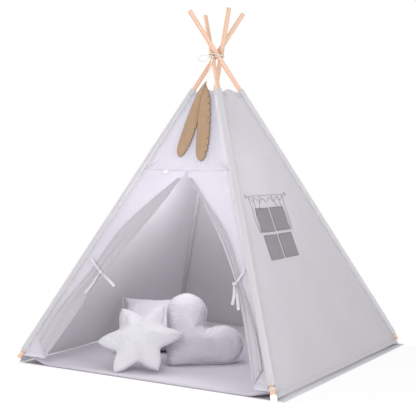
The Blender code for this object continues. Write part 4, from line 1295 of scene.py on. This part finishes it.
# Window: four dark panes with a cross of cover cloth between them, edged and framed in embroidery
window = {
    "top": 0.591,
    "bottom": 0.412,
    "front": -0.176,
    "back": 0.036,
    "lean": 0.030,
    "bar": 0.011,
    "patch": 0.0008,
    "standoff": 0.0007,
    "thread": 0.0014,
    "cells": 24,
    "edgingRise": 0.0005,
    "overPane": 0.0006,
}
# Line work round the panes, in shares of the window's width and height
windowLines = {
    "rod": [(-0.17, 1.24), (0.5, 1.25), (1.17, 1.24)],
    "rodEndFront": [(-0.17, 1.24), (-0.20, 1.28), (-0.235, 1.25), (-0.21, 1.20), (-0.17, 1.24)],
    "rodEndBack": [(1.17, 1.24), (1.20, 1.28), (1.235, 1.25), (1.21, 1.20), (1.17, 1.24)],
    "drapeFrontOut": [(-0.12, 1.23), (-0.10, 0.98), (-0.12, 0.74), (-0.09, 0.52)],
    "drapeFrontIn": [(0.30, 1.24), (0.20, 1.04), (0.04, 0.82), (-0.03, 0.52)],
    "drapeFrontFold": [(0.06, 1.23), (0.02, 1.00), (-0.05, 0.78), (-0.06, 0.54)],
    "drapeBackOut": [(1.12, 1.23), (1.10, 0.98), (1.12, 0.74), (1.09, 0.52)],
    "drapeBackIn": [(0.70, 1.24), (0.80, 1.04), (0.96, 0.82), (1.03, 0.52)],
    "drapeBackFold": [(0.94, 1.23), (0.98, 1.00), (1.05, 0.78), (1.06, 0.54)],
    "valance": [(-0.12, 1.23), (0.0, 1.13), (0.12, 1.20), (0.25, 1.11), (0.38, 1.20), (0.5, 1.11)]
    + [(0.62, 1.20), (0.75, 1.11), (0.88, 1.20), (1.0, 1.13), (1.12, 1.23)],
}


def sidePoint(y, height, outwards):
    half = faceWidth("front_right", "back_right", height) / 2
    start = sleeveInset("front_right", "back_right", height)
    end = 2 * half - sleeveInset("back_right", "front_right", height)
    share = (half + y - start) / (end - start)
    relief = softFolds(y, (height - cover["hem"]) * slant + cover["hem"], end - start, 1.0)
    return facePoint("front_right", "back_right", half + y, height, outwards + slack(share, height) + relief)


def onWindow(across, rise, out):
    # across and rise run 0 to 1 over the window, and beyond it for the curtain's line work
    middle = (window["top"] + window["bottom"]) / 2
    height = window["bottom"] + (window["top"] - window["bottom"]) * rise
    lean = window["lean"] * (height - middle) / (window["top"] - window["bottom"])
    y = window["front"] + (window["back"] - window["front"]) * across + lean
    return sidePoint(y, height, out)


def stitchLine(name, points):
    line = plainTube(name, points, window["thread"], finishes["thread"], sides=7)
    gatherToPole(line, "front_right")


def dressPane(word, low, high, under, over, wide, tall, out):
    made, cells = [], window["cells"]
    for i in range(cells + 1):
        row = []
        for j in range(cells + 1):
            a, b = low + (high - low) * j / cells, under + (over - under) * i / cells
            edge = min((a - low) * wide, (high - a) * wide, (b - under) * tall, (over - b) * tall)
            puff = 0.0007 * smoothStep(edge / 0.012) - 0.0004 * math.exp(-(((edge - 0.004) / 0.0015) ** 2))
            puff += 0.0004 * softNoise(a * 6, b * 6, low + over, 1.0) * smoothStep(edge / 0.015)
            row.append((onWindow(a, b, out + puff), (a * wide, b * tall), (a * wide + b * tall, edge + 0.0055)))
        made.append(row)
    pane = clothSheet("windowPane_" + word, made, window["patch"], finishes["pane"])
    gatherToPole(pane, "front_right")
    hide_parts("window_pane_" + word)
    declareCloth(pane, (high - low) * wide, (over - under) * tall * slant, "stretched", ["cover_right_0"])
    # Satin stitch round the pane
    bounds, outline = [(low, under), (high, under), (high, over), (low, over), (low, under)], []
    for (a, b), (c, d) in zip(bounds, bounds[1:]):
        for k in range(20):
            outline.append(onWindow(a + (c - a) * k / 20, b + (d - b) * k / 20, out + window["edgingRise"]))
    stitchLine("paneEdging_" + word, outline + outline[:1])


def dressWindow():
    wide, tall = window["back"] - window["front"], window["top"] - window["bottom"]
    barU, barV = window["bar"] / wide / 2, window["bar"] / tall / 2
    out = cover["cloth"] / 2 + window["standoff"] + window["patch"] / 2
    for column, low, high in (("front", 0.0, 0.5 - barU), ("back", 0.5 + barU, 1.0)):
        for row, under, over in (("lower", 0.0, 0.5 - barV), ("upper", 0.5 + barV, 1.0)):
            dressPane(row + "_" + column, low, high, under, over, wide, tall, out)
    for word, route in windowLines.items():
        smooth = smoothRoute([(a, b, 0) for a, b in route], 8)
        over = [window["overPane"] if 0 < p.x < 1 and p.y < 1.01 else 0.0 for p in smooth]
        stitchLine("windowLine_" + word, [onWindow(p.x, p.y, out + rise) for p, rise in zip(smooth, over)])


dressWindow()
print("window stitched")


# Blank tag under the seam of the yoke: folded tape with a soft curl
tag = {"width": 0.024, "drop": 0.014, "x": -0.094, "top": 0.7280, "cloth": 0.0009, "curl": 0.0016, "cut": 0.0165}


def dressTag():
    made, rows, columns = [], 16, 18
    for part in (i / rows for i in range(rows + 1)):
        height = tag["top"] - tag["drop"] * (1 - part)
        row = []
        for place in (j / columns - 0.5 for j in range(columns + 1)):
            across = tag["width"] * place
            x = tag["x"] + across
            curl = tag["curl"] * (1 - part) ** 2 * (0.6 + 0.8 * (place + 0.5))
            out = cover["cloth"] + 0.0006 + curl + 0.0003 * math.sin(place * 9)
            toEdge = min((0.5 - abs(place)) * tag["width"], (1 - part) * tag["drop"] + 0.0004)
            point = frontPoint(x, height, frontSlack(x, height) + out)
            row.append((point, (across, tag["drop"] * part), (across, toEdge)))
        made.append(row)
    piece = clothSheet("blankTag", made, tag["cloth"], finishes["label"])
    gatherToPole(piece, "front_left")
    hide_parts("label_tag")
    declareCloth(piece, tag["width"], tag["cut"], "hung", ["yoke_0"])


dressTag()


# Feathers cut from felt, with a raised quill. A vane is pairs of a share of the length and the reach there, in
# widths of the feather; the splits are shares of the length where the barbs part
leftVane = ((0.0, 0.045), (0.02, 0.055), (0.04, 0.12), (0.10, 0.27), (0.18, 0.38), (0.30, 0.45))
leftVane += ((0.48, 0.49), (0.68, 0.50), (0.84, 0.48), (0.92, 0.42), (0.97, 0.29), (1.0, 0.10))
rightVane = ((0.0, 0.045), (0.02, 0.055), (0.04, 0.12), (0.11, 0.25), (0.24, 0.39), (0.42, 0.465))
rightVane += ((0.64, 0.50), (0.79, 0.47), (0.89, 0.39), (0.95, 0.27), (0.985, 0.16), (1.0, 0.10))
feather = {
    "rows": 170,
    "columns": 22,
    "quillRise": 0.0004,
    "quillWidth": 0.0016,
    "left": np.array(leftVane),
    "right": np.array(rightVane),
    "splits": {
        "left": (0.13, 0.245, 0.44, 0.625, 0.87),
        "right": (0.15, 0.245, 0.335, 0.425, 0.52, 0.625, 0.715, 0.805, 0.89),
    },
    "depths": {"left": 0.13, "right": 0.17},
    "steps": (-0.001, 0.0, 0.0005, 0.006, 0.012, 0.020),
}


def vaneReach(word, side, part):
    # The vane's reach to one side of the quill, nicked on its right where the barbs split
    reach = float(np.interp(part, feather[side][:, 0], feather[side][:, 1]))
    if side == "right":
        for k, split in enumerate(feather["splits"][word]):
            if split - 0.030 < part <= split:
                reach += 0.012 * (part - split + 0.030) / 0.030
            if split < part < split + 0.020:
                depth = feather["depths"][word] * (0.7 + 0.6 * (k * 0.618 % 1))
                reach -= depth * (1 - (part - split) / 0.020)
    return reach


def dressFeather(word):
    place, length = featherFrame(*pendant["tops"][word]), pendant["length"]
    nicks = [split + step for split in feather["splits"][word] for step in feather["steps"]]
    parts = sorted(set(np.round(np.concatenate([np.linspace(0, 1, feather["rows"] + 1), nicks]), 5)))
    tops, lows, clothMap, sewMap = [], [], [], []
    for part in parts:
        left, right = (vaneReach(word, side, part) * pendant["width"] for side in ("left", "right"))
        along = -part * length
        for j in range(feather["columns"] + 1):
            across = j / feather["columns"] * 2 - 1
            px = left * across if across < 0 else right * across
            toEdge = min(left + px, right - px, (1 - part) * length)
            body = pendant["thickness"] / 2 * (0.55 + 0.45 * smoothStep(toEdge / 0.004))
            quill = feather["quillRise"] * math.exp(-((px / feather["quillWidth"]) ** 2)) * (1 - 0.7 * part)
            tops.append(place @ Vector((px, -body - quill, along)))
            lows.append(place @ Vector((px, body, along)))
            clothMap.append((px, along))
            sewMap.append((along, toEdge))
    rows, columns = len(parts), feather["columns"] + 1
    count = rows * columns
    faces = gridFaces(rows, columns) + gridFaces(rows, columns, count, True)
    faces += [(b, b + count, a + count, a) for a, b in rimRound(rows, columns)]
    mesh = meshFrom("feather_" + word, tops + lows, faces, clothMap * 2, sewMap * 2)
    facesOut(mesh)
    mesh.set_sharp_from_angle(angle=math.radians(50))
    piece = link("feltFeather_" + word, mesh, finishes["felt"])
    seat(piece, "pendant_" + word, "feather_" + word)
    declareCloth(piece, pendant["width"], length, "hung", ["pendantString_" + word])


dressFeather("left")
dressFeather("right")
print("tag and feathers done")

# Floor mat: thin wadding in a sewn cover, its corners drawn up by elastic loops
mat = {
    "half": 0.512,
    "thickness": 0.011,
    "corner": 0.030,
    "edge": 0.0045,
    "lift": 0.022,
    "liftReach": 0.095,
    "quilt": 0.0011,
    "cells": 96,
    "loop": 0.003,
    "loopHeight": 0.040,
}


def matCornerRise(x, y):
    reach = (mat["half"] - abs(x)) + (mat["half"] - abs(y))
    return mat["lift"] * (1 - smoothStep(reach / mat["liftReach"]))


def dressMat():
    cells, half = mat["cells"], mat["half"]
    turns = [math.pi / 2 * k / 5 for k in range(6)]
    middle = mat["thickness"] / 2
    profile = [(mat["edge"] * (1 - math.sin(t)), middle - middle * math.cos(t)) for t in turns]
    profile += [(mat["edge"] * (1 - math.cos(t)), middle + middle * math.sin(t)) for t in turns[1:]]
    points, clothMap, sewMap, index = [], [], [], {}

    def spot(i, j, height, inset):
        x, y = -half * math.cos(math.pi * i / cells), -half * math.cos(math.pi * j / cells)
        cornerX, cornerY = abs(x) - (half - mat["corner"]), abs(y) - (half - mat["corner"])
        if cornerX > 0 and cornerY > 0:
            pull = max(cornerX, cornerY) / math.hypot(cornerX, cornerY)
            x = math.copysign(half - mat["corner"] + cornerX * pull, x)
            y = math.copysign(half - mat["corner"] + cornerY * pull, y)
        shrink = 1 - inset / half
        x, y = x * shrink, y * shrink
        toEdge = min(half - abs(x), half - abs(y))
        if height > mat["thickness"] * 0.9:
            # The filling swells between the edge's stitches and lies in soft hollows
            along = y if half - abs(x) < half - abs(y) else x
            pucker = math.sin(along * 2 * math.pi / 0.034 + 3 * softNoise(x, y, 2, 6))
            pucker *= math.exp(-abs(toEdge - 0.020) / 0.010)
            height += mat["quilt"] * (0.9 * softNoise(x, y, 1, 7.0) + 0.35 * pucker) * smoothStep(toEdge / 0.012)
            height -= 0.0016 * math.exp(-((toEdge - 0.017) / 0.0024) ** 2)
        run = x if half - abs(x) > half - abs(y) else y
        return (x, y, max(height, 0) + matCornerRise(x, y)), (x, y), (run, toEdge - 0.0075)

    def place(level, i, j, height, inset):
        index[level, i, j] = len(points)
        for made, table in zip(spot(i, j, height, inset), (points, clothMap, sewMap)):
            table.append(made)

    faces = []
    for level, (inset, height) in ((0, profile[0]), (len(profile) - 1, profile[-1])):
        for i in range(cells + 1):
            for j in range(cells + 1):
                place(level, i, j, height, inset)
        for i in range(cells):
            for j in range(cells):
                face = [index[level, i + a, j + b] for a, b in ((0, 0), (1, 0), (1, 1), (0, 1))]
                faces.append(face if level else face[::-1])
    border = [(i, 0) for i in range(cells)] + [(cells, j) for j in range(cells)]
    border += [(i, cells) for i in range(cells, 0, -1)] + [(0, j) for j in range(cells, 0, -1)]
    for level in range(1, len(profile) - 1):
        inset, height = profile[level]
        for i, j in border:
            place(level, i, j, height, inset)
    for level in range(len(profile) - 1):
        for k, (i, j) in enumerate(border):
            a, b = border[(k + 1) % len(border)]
            ring = ((level, i, j), (level, a, b), (level + 1, a, b), (level + 1, i, j))
            faces.append([index[key] for key in ring])
    piece = link("paddedMat", meshFrom("paddedMat", points, faces, clothMap, sewMap), finishes["mat"])
    seat(piece, "base", "floor_mat")


def dressMatLoop(corner):
    place = poleFrame(corner)
    along = alongPole(corner, mat["loopHeight"])
    size, gap = mat["loop"], frameSizes["fitGap"]
    radius = frameSizes["poleRadius"] + gap + size / 2
    x, y = corners[corner]
    inwards = Vector((-x, -y, 0)).normalized()
    seam = Vector((x * mat["half"], y * mat["half"], 0)) + inwards * (mat["corner"] * (math.sqrt(2) - 1) - gap)
    seam.z = mat["thickness"] / 2 + matCornerRise(seam.x, seam.y)
    local = place.inverted() @ seam
    towards = math.atan2(local.y, local.x)
    hoop = []
    for k in range(37):
        angle = towards + math.pi / 4 + 1.5 * math.pi * k / 36
        hoop.append(place @ Vector((radius * math.cos(angle), radius * math.sin(angle), along)))
    side = Vector((-y, x, 0)).normalized() * size * 0.75
    if (hoop[0] - seam).dot(side) < 0:
        side = -side
    route = [seam + side, (seam + side).lerp(hoop[0], 0.5)] + hoop + [(seam - side).lerp(hoop[-1], 0.5), seam - side]
    loop, path = twistedCord("matLoop_" + corner, route, size, finishes["elastic"], strands=4, pitch=0.011)
    seat(loop, "base", "mat_loop_" + corner)


dressMat()
for corner in corners:
    dressMatLoop(corner)
print("mat and loops done")


# Cushions: two layers sewn round the edge and blown up by cloth simulation, then seated on the mat
cushions = {
    "star": {
        "place": (-0.088, -0.392),
        "lean": 43.0,
        "turn": 15.6,
        "roll": 8.8,
        "halfHeight": 0.043,
        "dome": 0.078,
        "frill": 0.0,
        "gather": 0.0005,
        "sink": 0.004,
    },
    "heart": {
        "place": (0.030, -0.224),
        "lean": 30.0,
        "turn": 38.0,
        "roll": 0.0,
        "halfHeight": 0.056,
        "dome": 0.085,
        "frill": 0.0042,
        "gather": 0.0018,
        "sink": 0.005,
    },
    "square": {
        "place": (-0.242, -0.070),
        "lean": 55.0,
        "turn": 27.0,
        "roll": 0.0,
        "halfHeight": 0.048,
        "dome": 0.120,
        "frill": 0.006,
        "gather": 0.0014,
        "sink": 0.004,
    },
}
filling = {
    "voxel": 0.0052,
    "frames": 18,
    "pressure": 3.2,
    "cap": 0.020,
    "startShare": 0.62,
    "rim": 0.0016,
    "gatherPitch": 0.0125,
    "hollows": 0.0035,
    "creases": 0.0022,
    "overMat": 0.0004,
}
seamEdge = {
    "step": 0.0022,
    "rows": 5,
    "tuck": 0.0020,
    "cloth": 0.0011,
    "lift": 0.0006,
    "width": 0.0009,
    "sway": 0.15,
    "pitch": 0.030,
    "frillSway": 0.34,
    "frillPitch": 0.011,
}
starShape = {"radius": 0.158, "valley": 0.100, "rounding": 0.45}
heartShape = {"arm": 0.150, "reach": 0.280, "notch": 0.012, "tip": 0.022, "centreShare": 0.62}
squareShape = {"side": 0.300, "drawnIn": 0.012}


def starOutline(count):
    points, half = [], math.pi / 6
    long, short = starShape["radius"], starShape["valley"]
    for angle in (2 * math.pi * k / count for k in range(count)):
        off = abs((angle + half) % (2 * half) - half)
        straight = long * short * math.sin(half) / (long * math.sin(off) + short * math.sin(half - off))
        smooth = short + (long - short) * (1 + math.cos(6 * angle)) / 2
        radius = straight + starShape["rounding"] * (smooth - straight)
        points.append((radius * math.cos(angle), radius * math.sin(angle)))
    return points


def arc(x, z, radius, start, turn, steps):
    angles = [start + turn * k / steps for k in range(steps + 1)]
    return [(x + radius * math.cos(angle), z + radius * math.sin(angle)) for angle in angles]


def closedRun(outline):
    # The outline closed on itself, and how far round it each of its points lies
    closed = np.vstack([outline, outline[:1]])
    return closed, runAlong(closed)


def heartOutline(count):
    # Two round-ended arms square to each other meet in the tip, as the photograph's heart stands on one side
    arm, end = heartShape["arm"], heartShape["reach"] - heartShape["arm"] / 2
    tip, notch = heartShape["tip"], heartShape["notch"]
    outline = arc(tip, tip, tip, math.pi, math.pi / 2, 12)
    outline += arc(end, arm / 2, arm / 2, -math.pi / 2, math.pi, 48)
    outline += arc(arm + notch, arm + notch, notch, -math.pi / 2, -math.pi / 2, 10)
    outline += arc(arm / 2, end, arm / 2, 0, math.pi, 48)
    closed, run = closedRun(np.array(outline) - arm * heartShape["centreShare"])
    places = np.arange(count) * run[-1] / count
    return [(float(np.interp(at, run, closed[:, 0])), float(np.interp(at, run, closed[:, 1]))) for at in places]


def squareOutline(count):
    points, half, steps = [], squareShape["side"] / 2, count // 4
    for quarter in range(4):
        turn = Matrix.Rotation(quarter * math.pi / 2, 2)
        for k in range(steps):
            place = 2 * k / steps - 1
            point = turn @ Vector((half - squareShape["drawnIn"] * (1 - place * place), place * half))
            points.append((point.x, point.y))
    return points


shapes = {"star": starOutline, "heart": heartOutline, "square": squareOutline}
outlines = {word: np.array(shape(240)) for word, shape in shapes.items()}


def cushionFrame(word):
    facts = cushions[word]
    return (
        Matrix.Translation((*facts["place"], 0))
        @ Matrix.Rotation(math.radians(facts["turn"]), 4, "Z")
        @ Matrix.Rotation(math.radians(-facts["lean"]), 4, "X")
        @ Matrix.Rotation(math.radians(facts["roll"]), 4, (0, -1, 0))
    )


def crownHeight(word, inset, share):
    # A dome that rises from the seam over the dome's own reach, and stays full beyond it
    part = 1 - min(inset / cushions[word]["dome"], 1)
    rise = (cushions[word]["halfHeight"] - filling["rim"]) * math.sqrt(max(1 - part**2, 0))
    return (filling["rim"] + rise) * share


def crownedPad(word, share, rings):
    # The pad's own form, its thickness at a share of the full one
    outline, pad, rims = outlines[word], bmesh.new(), {}
    count = len(outline)
    pairs = [(i, (i + 1) % count) for i in range(count)]
    for face in (-1, 1):
        middle = pad.verts.new((0, face * crownHeight(word, float(np.hypot(*outline.T).min()), share), 0))
        loops = []
        for k in range(1, rings + 1):
            ring = []
            for x, z in outline * math.sin(math.pi / 2 * k / rings):
                inset = float(np.hypot(outline[:, 0] - x, outline[:, 1] - z).min())
                ring.append(pad.verts.new((x, face * crownHeight(word, inset, share), z)))
            loops.append(ring)
        for i, j in pairs:
            pad.faces.new((middle, loops[0][i], loops[0][j]))
            for inner, outer in zip(loops, loops[1:]):
                pad.faces.new((inner[i], outer[i], outer[j], inner[j]))
        rims[face] = loops[-1]
    for i, j in pairs:
        pad.faces.new((rims[-1][i], rims[-1][j], rims[1][j], rims[1][i]))
    bmesh.ops.recalc_face_normals(pad, faces=pad.faces)
    mesh = bpy.data.meshes.new("pad_" + word)
    pad.to_mesh(mesh)
    pad.free()
    return mesh


def takeMesh(piece, modifier):
    graph = bpy.context.evaluated_depsgraph_get()
    graph.update()
    shown = piece.evaluated_get(graph)
    made = bpy.data.meshes.new_from_object(shown, preserve_all_data_layers=True, depsgraph=graph)
    piece.modifiers.remove(modifier)
    old = piece.data
    piece.data = made
    bpy.data.meshes.remove(old)


def pointsOf(piece):
    return np.array([v.co[:] for v in piece.data.vertices], float)


def blowUp(piece):
    # Pressure swells the cloth, and no point may travel further than the cap
    rest = pointsOf(piece)
    cloth = piece.modifiers.new("filling", "CLOTH")
    settings = cloth.settings
    settings.quality = 5
    settings.mass = 0.25
    settings.tension_stiffness = settings.compression_stiffness = 22
    settings.shear_stiffness = 9
    settings.bending_stiffness = 0.35
    settings.use_pressure = True
    settings.uniform_pressure_force = filling["pressure"]
    settings.effector_weights.gravity = 0
    cloth.collision_settings.use_collision = False
    cloth.point_cache.frame_start, cloth.point_cache.frame_end = 1, filling["frames"]
    for step in range(1, filling["frames"] + 1):
        scene.frame_set(step)
    takeMesh(piece, cloth)
    scene.frame_set(1)
    travel = pointsOf(piece) - rest
    length = np.linalg.norm(travel, axis=1, keepdims=True)
    moved = rest + travel * np.minimum(1, filling["cap"] / np.maximum(length, 1e-9))
    piece.data.vertices.foreach_set("co", moved.astype(np.float32).ravel())
    piece.data.update()


def edgeRun(word, points):
    # For each point: how far round the outline it lies, and how far in from the seam, in metres
    outline, run, flat = outlines[word], closedRun(outlines[word])[1], points[:, [0, 2]]
    nearest = np.argmin(((flat[:, None, :] - outline[None, :, :]) ** 2).sum(axis=2), axis=1)
    return run[nearest], np.linalg.norm(flat - outline[nearest], axis=1), run[-1]


def seatedPoint(place, co, floorHeight):
    # The pad's underside spreads where it rests on the mat
    spot = place @ co
    lift = 0.5 * (spot.z - floorHeight + math.sqrt((spot.z - floorHeight) ** 2 + 0.004**2))
    return Vector((spot.x, spot.y, floorHeight + lift))


def plumpPad(word):
    # The quick export takes the full form at once, the picture's pad is blown up from a flatter one
    pad = bpy.data.objects.new("plump_" + word, crownedPad(word, filling["startShare"], 12))
    scene.collection.objects.link(pad)
    remesh = pad.modifiers.new("even", "REMESH")
    remesh.mode = "VOXEL"
    remesh.voxel_size = filling["voxel"]
    takeMesh(pad, remesh)
    blowUp(pad)
    fine = pad.modifiers.new("fine", "SUBSURF")
    fine.levels = fine.render_levels = 1
    takeMesh(pad, fine)
    return pad


def noiseOver(points, depth, lift, scale):
    return np.array([softNoise(p[0], p[2], depth + lift * p[1], scale) for p in points])


def dressCushion(word):
    facts, outline, pad = cushions[word], outlines[word], plumpPad(word)
    points = pointsOf(pad)

    # Back to the cut's own size, with gathers that run in from the seam
    half = facts["halfHeight"]
    for axis, line in ((0, outline[:, 0]), (2, outline[:, 1]), (1, np.array((-half, half)))):
        least, most = points[:, axis].min(), points[:, axis].max()
        points[:, axis] = line.min() + (points[:, axis] - least) * (line.max() - line.min()) / (most - least)
    run, away, whole = edgeRun(word, points)
    waves = round(whole / filling["gatherPitch"])
    gathers = np.sin(2 * math.pi * waves * run / whole + 3.2 * noiseOver(points, 3, 1, 14))
    gathers *= np.exp(-away / 0.024) * (1 - np.exp(-away / 0.004))
    creases = 0.3 - np.abs(noiseOver(points, 5, 2, 17)) ** 0.7
    hollows = filling["hollows"] * noiseOver(points, 9, 0, 9) * np.minimum(away / 0.03, 1)
    lift = facts["gather"] * gathers + hollows + filling["creases"] * creases * np.minimum(away / 0.02, 1)
    points[:, 1] += np.sign(points[:, 1]) * lift

    place = cushionFrame(word)
    lowest = min((place @ Vector(p)).z for p in points)
    matTop = mat["thickness"] + filling["overMat"]
    place = Matrix.Translation((0, 0, matTop - lowest - facts["sink"])) @ place
    run, away, whole = edgeRun(word, points)
    for vert, co in zip(pad.data.vertices, points):
        vert.co = seatedPoint(place, Vector(co), matTop)
    addMaps(pad.data, points[:, [0, 2]], np.stack([run, away + 0.006], axis=1))
    pad.data.update()
    pad.data.materials.clear()
    pad.data.materials.append(finishes["cushion"])
    pad.data.shade_smooth()
    seat(pad, "cushions", "cushion_" + word)
    dressSeam(word, place, matTop, points)
    print("cushion", word, len(pad.data.vertices), "points")


def seamOffset(line, normal, pad):
    # How far the plumped pad's rim has moved out or in from the cut line, eased along the seam
    rim = pad[np.abs(pad[:, 1]) < 0.010][:, [0, 2]]
    moved = []
    for spot, out in zip(line, normal):
        away = rim - spot
        beside = np.abs(away @ np.array([-out[1], out[0]])) < 0.006
        reach = (away @ out)[beside]
        reach = reach[np.abs(reach) < 0.018]
        moved.append(reach.max() if len(reach) else 0.0)
    moved = np.array(moved)
    return sum(np.roll(moved, k) for k in range(-4, 5)) / 9


def dressSeam(word, place, matTop, pad):
    # A sewn edge all round, with a gathered frill on the heart and the square
    frill = cushions[word]["frill"]
    closed, run = closedRun(outlines[word])
    whole = run[-1]
    count = int(whole / seamEdge["step"])
    places = np.arange(count) * whole / count
    line = np.stack([np.interp(places, run, closed[:, k]) for k in range(2)], axis=1)
    ahead = np.roll(line, -2, axis=0) - np.roll(line, 2, axis=0)
    normal = np.stack([ahead[:, 1], -ahead[:, 0]], axis=1)
    normal /= np.maximum(np.linalg.norm(normal, axis=1, keepdims=True), 1e-9)
    if (normal * line).sum() < 0:
        normal = -normal
    line = line + normal * seamOffset(line, normal, pad)[:, None]
    width, sway, pitch = seamEdge["width"], seamEdge["sway"], seamEdge["pitch"]
    if frill:
        width, sway, pitch = frill, seamEdge["frillSway"], seamEdge["frillPitch"]
    rows, waves, tuck, made = seamEdge["rows"], round(whole / pitch), seamEdge["tuck"], []
    for k in range(count + 1):
        m = k % count
        at = places[m] if k < count else whole
        wobble = softNoise(line[m][0], line[m][1], 4, 30)
        swing = math.sin(2 * math.pi * waves * places[m] / whole + 2.4 * wobble)
        reach = width * (1 + 0.45 * wobble)
        row = []
        for part in (r / rows for r in range(rows + 1)):
            out = -tuck + (reach + tuck) * part
            spot = (line[m][0] + normal[m][0] * out, sway * width * part * swing, line[m][1] + normal[m][1] * out)
            seated = seatedPoint(place, Vector(spot), matTop + seamEdge["lift"])
            row.append((seated, (at, out), (at, reach - out + 0.007)))
        made.append(row)
    edge = clothSheet("seamEdge_" + word, made, seamEdge["cloth"], finishes["cushion"])
    seat(edge, "cushions", "cushion_" + word)


for word in ("square", "heart", "star"):
    dressCushion(word)
print("cushions plumped")


# Studio: pale floor and backdrop, soft light from the front, from the right and from the left, and a weak one inside
def floorFinish():
    # White for the eye outside the tent; inside its footprint the floor is lit as it stands and its colour is a
    # painted shade grey, so that no bright strip shows under the cloth
    floor = newFinish("paleFloor", 0.9)
    place = floor.add("ShaderNodeTexCoord", {}, {}, 3)
    floor.set("Roughness", floor.noisy(place, 8, 3) * 0.1 + 0.82)
    x, y = floor.parts(place)
    under = x.size().most(y).eased(*studio["underTent"]) * y.eased(*studio["behindDoor"])
    floor.set("Base Color", floor.mixed(under, studio["floorColour"], studio["paintedShadeUnderTent"]))
    away = floor.add("ShaderNodeVectorMath", {"operation": "LENGTH"}, {0: place}, 1).eased(*studio["glowRun"])
    glow = floor.add("ShaderNodeEmission", {}, {"Color": white, "Strength": 1.0})
    share = floor.seenRay(True) * (1.0 - under) * (away * (1 - studio["nearGlow"]) + studio["nearGlow"])
    floor.feed(floor.end.inputs["Surface"], floor.add("ShaderNodeMixShader", {}, {0: share, 1: floor.skin, 2: glow}))
    return floor.material


def makeFloor():
    ground = bmesh.new()
    bmesh.ops.create_circle(ground, cap_ends=True, segments=96, radius=studio["floorReach"])
    mesh = bpy.data.meshes.new("studioFloor")
    ground.to_mesh(mesh)
    ground.free()
    mesh.materials.append(floorFinish())
    floor = bpy.data.objects.new("studioFloor", mesh)
    floor.location.z = -studio["floorDrop"]
    scene.collection.objects.link(floor)


def makeLamp(name, kind):
    place, size, power = studio[name]
    data = bpy.data.lights.new(name, kind)
    data.energy = power
    lamp = bpy.data.objects.new(name, data)
    lamp.location = place
    if kind == "AREA":
        data.shape, data.size = "DISK", size
        lamp.rotation_mode = "QUATERNION"
        lamp.rotation_quaternion = (Vector(studio["lampAim"]) - Vector(place)).to_track_quat("-Z", "Y")
    else:
        # The unseen lamp in the tent stands for the light that thin cotton lets through from every side
        data.shadow_soft_size = size / 2
        lamp.visible_camera = lamp.visible_glossy = False
    scene.collection.objects.link(lamp)


def makeSky():
    scene.world = bpy.data.worlds.new("studioSky")
    sky = Finish(scene.world)
    lit = sky.add("ShaderNodeBackground", {}, {"Color": white, "Strength": studio["skyLight"]})
    seen = sky.add("ShaderNodeBackground", {}, {"Color": white, "Strength": 1.0})
    both = sky.add("ShaderNodeMixShader", {}, {0: sky.seenRay(False), 1: lit, 2: seen})
    sky.add("ShaderNodeOutputWorld", {}, {0: both}, None)


makeFloor()
for name in ("keyLamp", "sideLamp", "leftLamp"):
    makeLamp(name, "AREA")
makeLamp("insideLamp", "POINT")
makeSky()
scene.view_settings.view_transform = "Standard"
print("studio lit")
